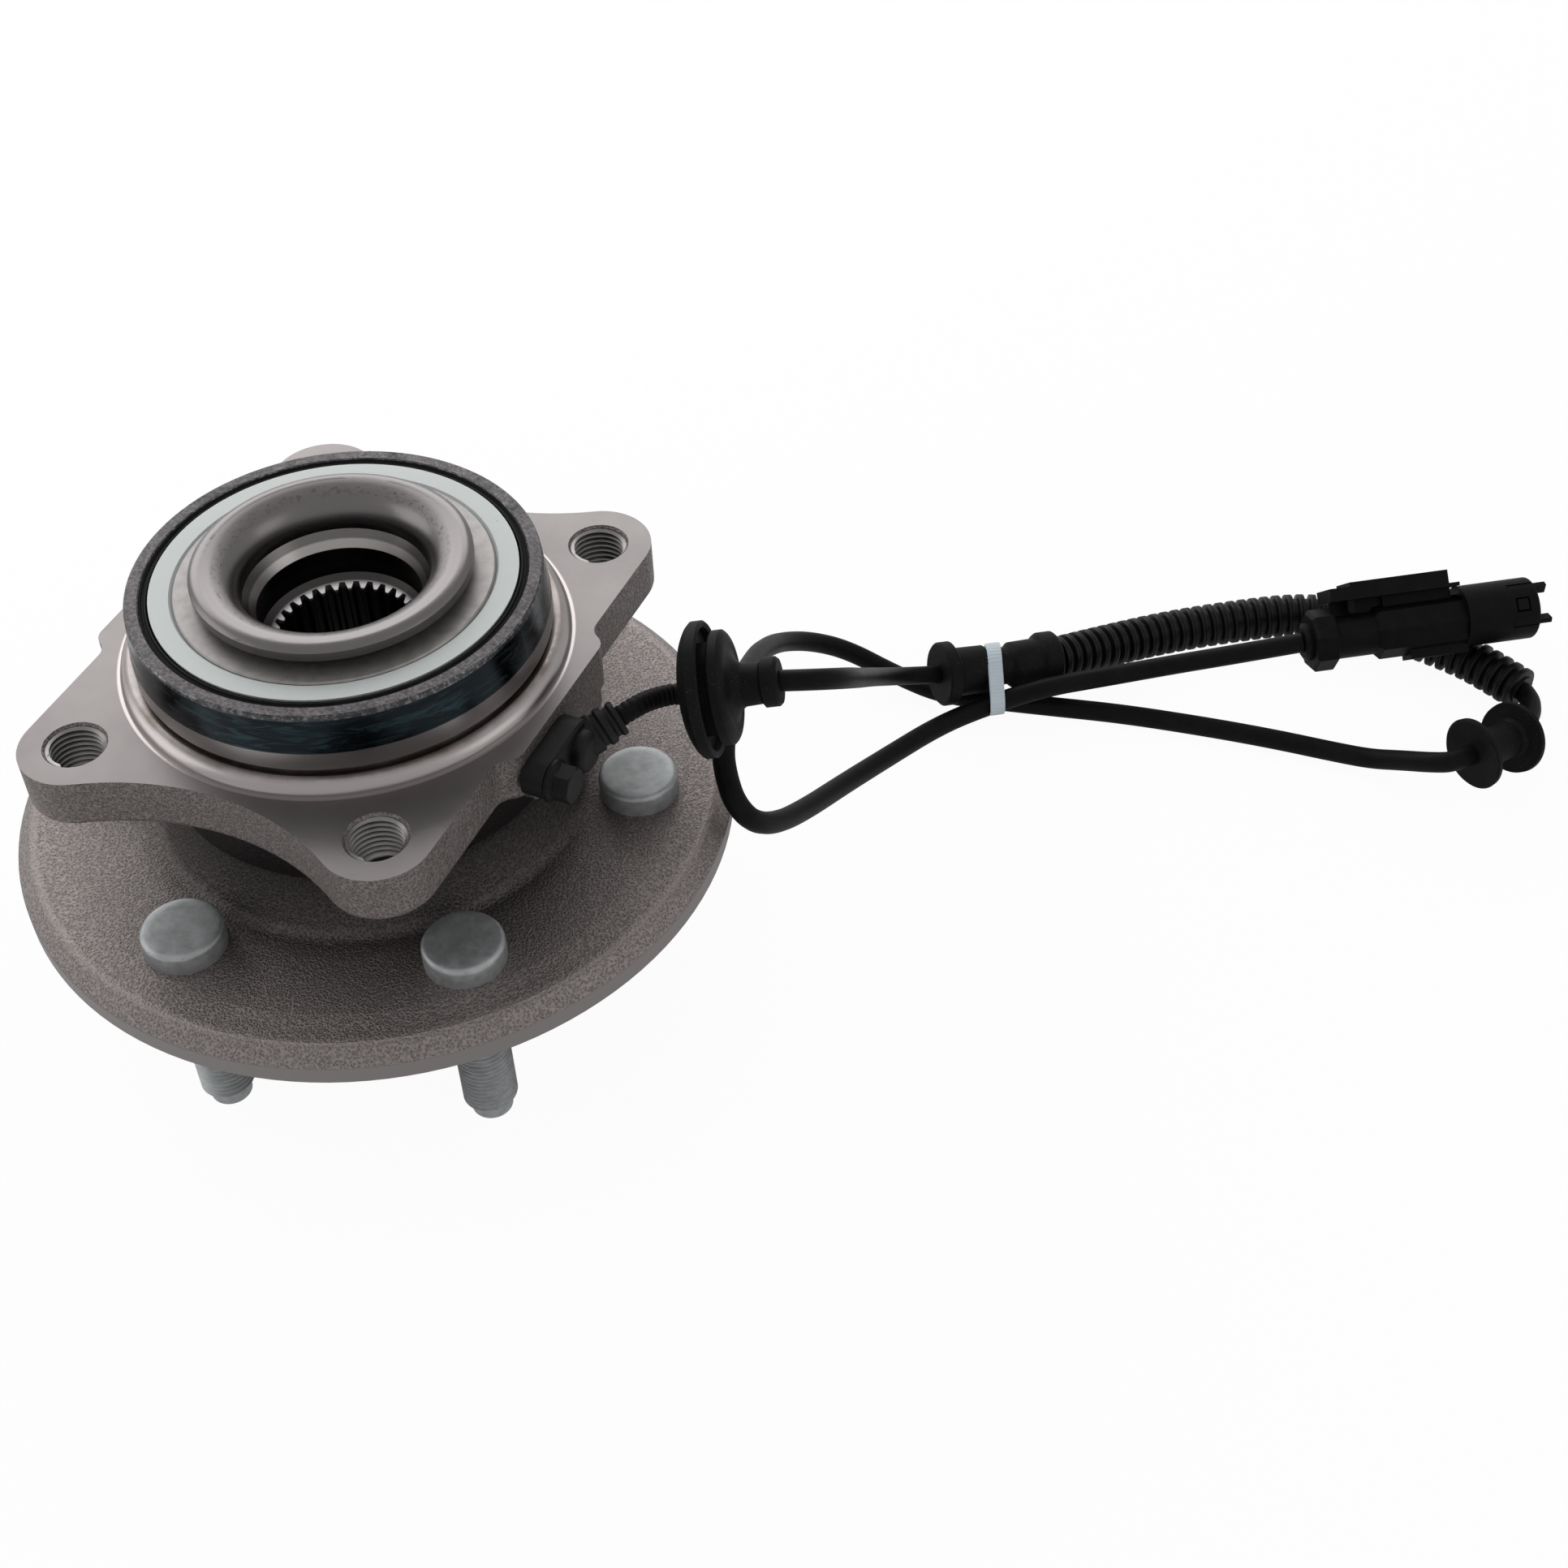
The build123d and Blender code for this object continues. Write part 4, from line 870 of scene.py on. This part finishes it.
class HUB_OT_conduit(StepOperator, bpy.types.Operator):
    """Build the corrugated conduit, whose ribs are stretched apart near the spool"""

    bl_idname = "hub.conduit"
    bl_label = "Conduit"

    def execute(self, context):
        line = centre_line(CONDUIT)
        length = length_of(line)
        crest = self.harness.conduit_radius
        count = round(length / self.harness.conduit_pitch)
        pitch = length / count
        rings = []
        for i in range(count):
            stretched = max(0.0, (i - 0.62 * count) / count)
            wide = 0.34 - 0.10 * stretched
            root = (1.35 + 1.6 * stretched) * MM
            side = ((1.0, root), (0.86, 0.5 * MM), (0.72, 0.06 * MM), (0.6, 0.0), (0.12, 0.0))
            profile = [(-part, depth) for part, depth in side] + [(0.0, 0.16 * MM)] + list(reversed(side))
            rings += [((i + 0.5 + wide * part) * pitch, crest - depth) for part, depth in profile]
        rings = [(0.0, rings[0][1])] + rings + [(length, rings[-1][1])]
        verts, faces = tube_about(line, rings, 32)
        plastic = self.moulded("conduit_plastic", self.harness.plastic, rough=0.36, grain=0.01, scale=2.0,
                               specks=0.1, gloss=0.2)
        conduit = piece_from("conduit_ribbed", verts, faces, plastic, radians(40))
        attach(conduit, "root")
        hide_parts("conduit")
        return {"FINISHED"}


class HUB_OT_knuckle_plate(StepOperator, bpy.types.Operator):
    """Finish the plate with its barrel and thread its four holes"""

    bl_idname = "hub.knuckle_plate"
    bl_label = "Knuckle plate"

    def execute(self, context):
        dress("outer_ring", plate_finish(self.steel))
        foot = (PLATE_UNDER + 0.5) * MM
        top = (PLATE_TOP - 0.7) * MM
        wall = (BOLT_R - 0.03) * MM
        walls = threaded(foot, top, self.steel.thread_pitch, wall - 0.06 * MM, wall - THREAD_DEPTH)
        columns = [thread + [(wall, top), (wall, foot), thread[0]] for thread in walls]
        verts, faces = [], []
        for x in (-BOLT_X, BOLT_X):
            for y in (-BOLT_Y, BOLT_Y):
                turn_columns(verts, faces, Vector((x, y, 0)) * MM, columns)
        steel = ground_finish("thread_steel", (0.27, 0.26, 0.255))
        threads = piece_from("knuckle_threads", verts, faces, steel, radians(30))
        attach(threads, "root")
        return {"FINISHED"}


class HUB_OT_spindle(StepOperator, bpy.types.Operator):
    """Finish the wheel flange, the rolled lip and the splined bore"""

    bl_idname = "hub.spindle"
    bl_label = "Hub spindle"

    def execute(self, context):
        dress("hub_spindle", spindle_finish(self.steel))
        return {"FINISHED"}


class HUB_OT_bearing(StepOperator, bpy.types.Operator):
    """Finish the rings, balls, cages and seals of the bearing"""

    bl_idname = "hub.bearing"
    bl_label = "Bearing"

    def execute(self, context):
        ground = ground_finish("ground_steel", self.steel.ground)
        polished = ground_finish("ball_steel", (0.68, 0.68, 0.69), 0.08)
        cage = self.moulded("cage_plastic", (0.30, 0.26, 0.17), rough=0.45, grain=0.02, scale=3.0,
                            specks=0.1)
        rubber = self.moulded("seal_rubber", (0.008, 0.008, 0.008), rough=0.5, grain=0.01, scale=3.0,
                              specks=0.1)
        dress("inner_ring", ground_finish("race_steel", (0.31, 0.295, 0.29), 0.42))
        dress("slinger_inboard", slinger_finish(self.steel))
        dress("tone_ring", ground)
        for side in ("inboard", "outboard"):
            dress("balls_" + side, polished)
            dress("cage_" + side, cage)
            dress("seal_case_" + side, ground)
            dress("seal_lip_" + side, rubber)
        dress("sensor_o_ring", rubber)
        dress("connector_seal", rubber)
        return {"FINISHED"}


class HUB_OT_studs(StepOperator, bpy.types.Operator):
    """Build the six wheel studs with rolled threads and rubbed heads"""

    bl_idname = "hub.studs"
    bl_label = "Wheel studs"

    def execute(self, context):
        low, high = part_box("wheel_studs")
        foot, top = low[2] / MM, high[2] / MM
        seat = top - STUD_HEAD_H
        tip_top = foot + STUD_TIP_LEN
        head = STUD_HEAD_R
        below = [(0, foot), (STUD_TIP_R - 0.8, foot), (STUD_TIP_R, foot + 0.8), (STUD_TIP_R, tip_top)]
        above = [
            (STUD_R - 0.05, STUD_THREAD_TOP + 1.2),
            (STUD_R - 0.05, 0),
            (STUD_KNURL_R, 0.4),
            (STUD_KNURL_R, seat),
            (head, seat),
            (head, top - 1.4),
            (head - 0.08, top - 0.95),
            (head - 0.33, top - 0.5),
            (head - 0.75, top - 0.16),
            (head - 1.3, top),
            (head - 3.0, top),
            (0, top),
        ]
        below, above = ([(r * MM, z * MM) for r, z in profile] for profile in (below, above))
        walls = threaded(
            (tip_top + 0.9) * MM,
            STUD_THREAD_TOP * MM,
            self.steel.thread_pitch,
            STUD_R * MM - THREAD_DEPTH,
            (STUD_R - 0.03) * MM,
        )
        columns = [below + thread + above for thread in walls]
        verts, faces = [], []
        for i in range(STUD_COUNT):
            a = radians(STUD_FIRST + 360 / STUD_COUNT * i)
            centre = Vector((cos(a), sin(a), 0)) * STUD_CIRCLE * MM
            turn_columns(verts, faces, centre, columns)
        studs = piece_from("wheel_studs_threaded", verts, faces, zinc_finish(self.steel), radians(32))
        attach(studs, "hub")
        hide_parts("wheel_studs")
        return {"FINISHED"}


class HUB_OT_sensor(StepOperator, bpy.types.Operator):
    """Finish the speed sensor, its bolt and bush, and build its ribbed lead"""

    bl_idname = "hub.sensor"
    bl_label = "Speed sensor"

    def execute(self, context):
        plastic = self.moulded("sensor_plastic", self.harness.plastic, rough=0.5, grain=0.02, scale=4.0,
                               specks=0.3, gloss=0.25)
        black = self.moulded("black_bolt", (0.008, 0.008, 0.009), rough=0.33, grain=0.01, scale=2.0,
                             specks=0.1)
        dress("sensor_body", plastic)
        dress("sensor_bolt", black)
        dress("sensor_bush", ground_finish("bush_steel", self.steel.ground))
        line = centre_line(LEAD)
        length = length_of(line)
        crest = self.harness.lead_radius
        groove = 0.22 * MM
        count = 12
        rings = []
        for i in range(count):
            for part, depth in ((0.0, groove), (0.25, 0.05 * MM), (0.5, 0.0), (0.8, 0.04 * MM)):
                rings.append(((i + part) * length / count, crest - depth))
        rings.append((length, crest - groove))
        verts, faces = tube_about(line, rings, 28)
        jacket = self.moulded("lead_jacket", self.harness.jacket, rough=0.45, grain=0.015, scale=3.0,
                              specks=0.1)
        lead = piece_from("sensor_lead_ribbed", verts, faces, jacket, radians(60))
        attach(lead, "root")
        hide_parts("sensor_lead")
        return {"FINISHED"}


class HUB_OT_grommets(StepOperator, bpy.types.Operator):
    """Finish the panel grommet, the sleeve and the spool"""

    bl_idname = "hub.grommets"
    bl_label = "Grommets"

    def execute(self, context):
        rubber = self.moulded("grommet_rubber", self.harness.rubber, rough=0.48, grain=0.02, scale=3.0,
                              specks=0.5)
        for node in ("panel_grommet", "sleeve_grommet", "spool_grommet"):
            dress(node, rubber)
        return {"FINISHED"}


class HUB_OT_connector(StepOperator, bpy.types.Operator):
    """Finish the connector with its boot, lock and terminals, and add the webs inside it"""

    bl_idname = "hub.connector"
    bl_label = "Connector"

    def execute(self, context):
        plastic = self.moulded("connector_plastic", self.harness.plastic, rough=0.42, grain=0.015,
                               scale=3.0, specks=0.15)
        for node in ("connector_boot", "connector_body", "connector_lock"):
            dress(node, plastic)
        dress("connector_pins", ground_finish("terminal_brass", (0.60, 0.45, 0.20), 0.25))
        side = Vector((-CONNECTOR_AXIS.y, CONNECTOR_AXIS.x, 0)).normalized()
        up = side * sin(CONNECTOR_ROLL) + Vector((0, 0, cos(CONNECTOR_ROLL)))
        place = axes_place(CONNECTOR_START, up.cross(CONNECTOR_AXIS), CONNECTOR_AXIS)
        latch = place @ Matrix.Translation((0, SHROUD_LIFT, 0)) @ Matrix.Rotation(LATCH_ANGLE, 4, "Z")
        verts, faces = [], []
        # One under the rail and one behind the latch
        slab(verts, faces, place, (-0.6, 6.0, 9.8), (0.6, 10.4, 25.2), 0.2)
        slab(verts, faces, latch, (5.0, -2.9, 60.5), (5.5, 2.9, 67.6), 0.1)
        webs = piece_from("connector_webs", verts, faces, plastic, radians(30))
        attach(webs, "root")
        return {"FINISHED"}


STEPS = (
    HUB_OT_stage,
    HUB_OT_cables,
    HUB_OT_conduit,
    HUB_OT_knuckle_plate,
    HUB_OT_spindle,
    HUB_OT_bearing,
    HUB_OT_studs,
    HUB_OT_sensor,
    HUB_OT_grommets,
    HUB_OT_connector,
)


class HUB_PT_steps(bpy.types.Panel):
    """Lists the steps and the settings."""

    bl_label = "Wheel hub bearing"
    bl_idname = "HUB_PT_steps"
    bl_space_type = "VIEW_3D"
    bl_region_type = "UI"
    bl_category = "Hub"

    def draw(self, context):
        for step in STEPS:
            self.layout.operator(step.bl_idname)
        for group in (context.scene.hub_steel, context.scene.hub_harness, context.scene.hub_stage):
            box = self.layout.box()
            for name in group.bl_rna.properties.keys():
                if name not in ("rna_type", "name"):
                    box.prop(group, name)


CLASSES = (HubSteelSettings, HubHarnessSettings, HubStageSettings, *STEPS, HUB_PT_steps)


def register():
    for cls in CLASSES:
        bpy.utils.register_class(cls)
    bpy.types.Scene.hub_steel = PointerProperty(type=HubSteelSettings)
    bpy.types.Scene.hub_harness = PointerProperty(type=HubHarnessSettings)
    bpy.types.Scene.hub_stage = PointerProperty(type=HubStageSettings)


def unregister():
    del bpy.types.Scene.hub_stage
    del bpy.types.Scene.hub_harness
    del bpy.types.Scene.hub_steel
    for cls in reversed(CLASSES):
        bpy.utils.unregister_class(cls)


def main():
    register()
    for step in STEPS:
        area, name = step.bl_idname.split(".")
        getattr(getattr(bpy.ops, area), name)()


if __name__ == "__main__":
    main()
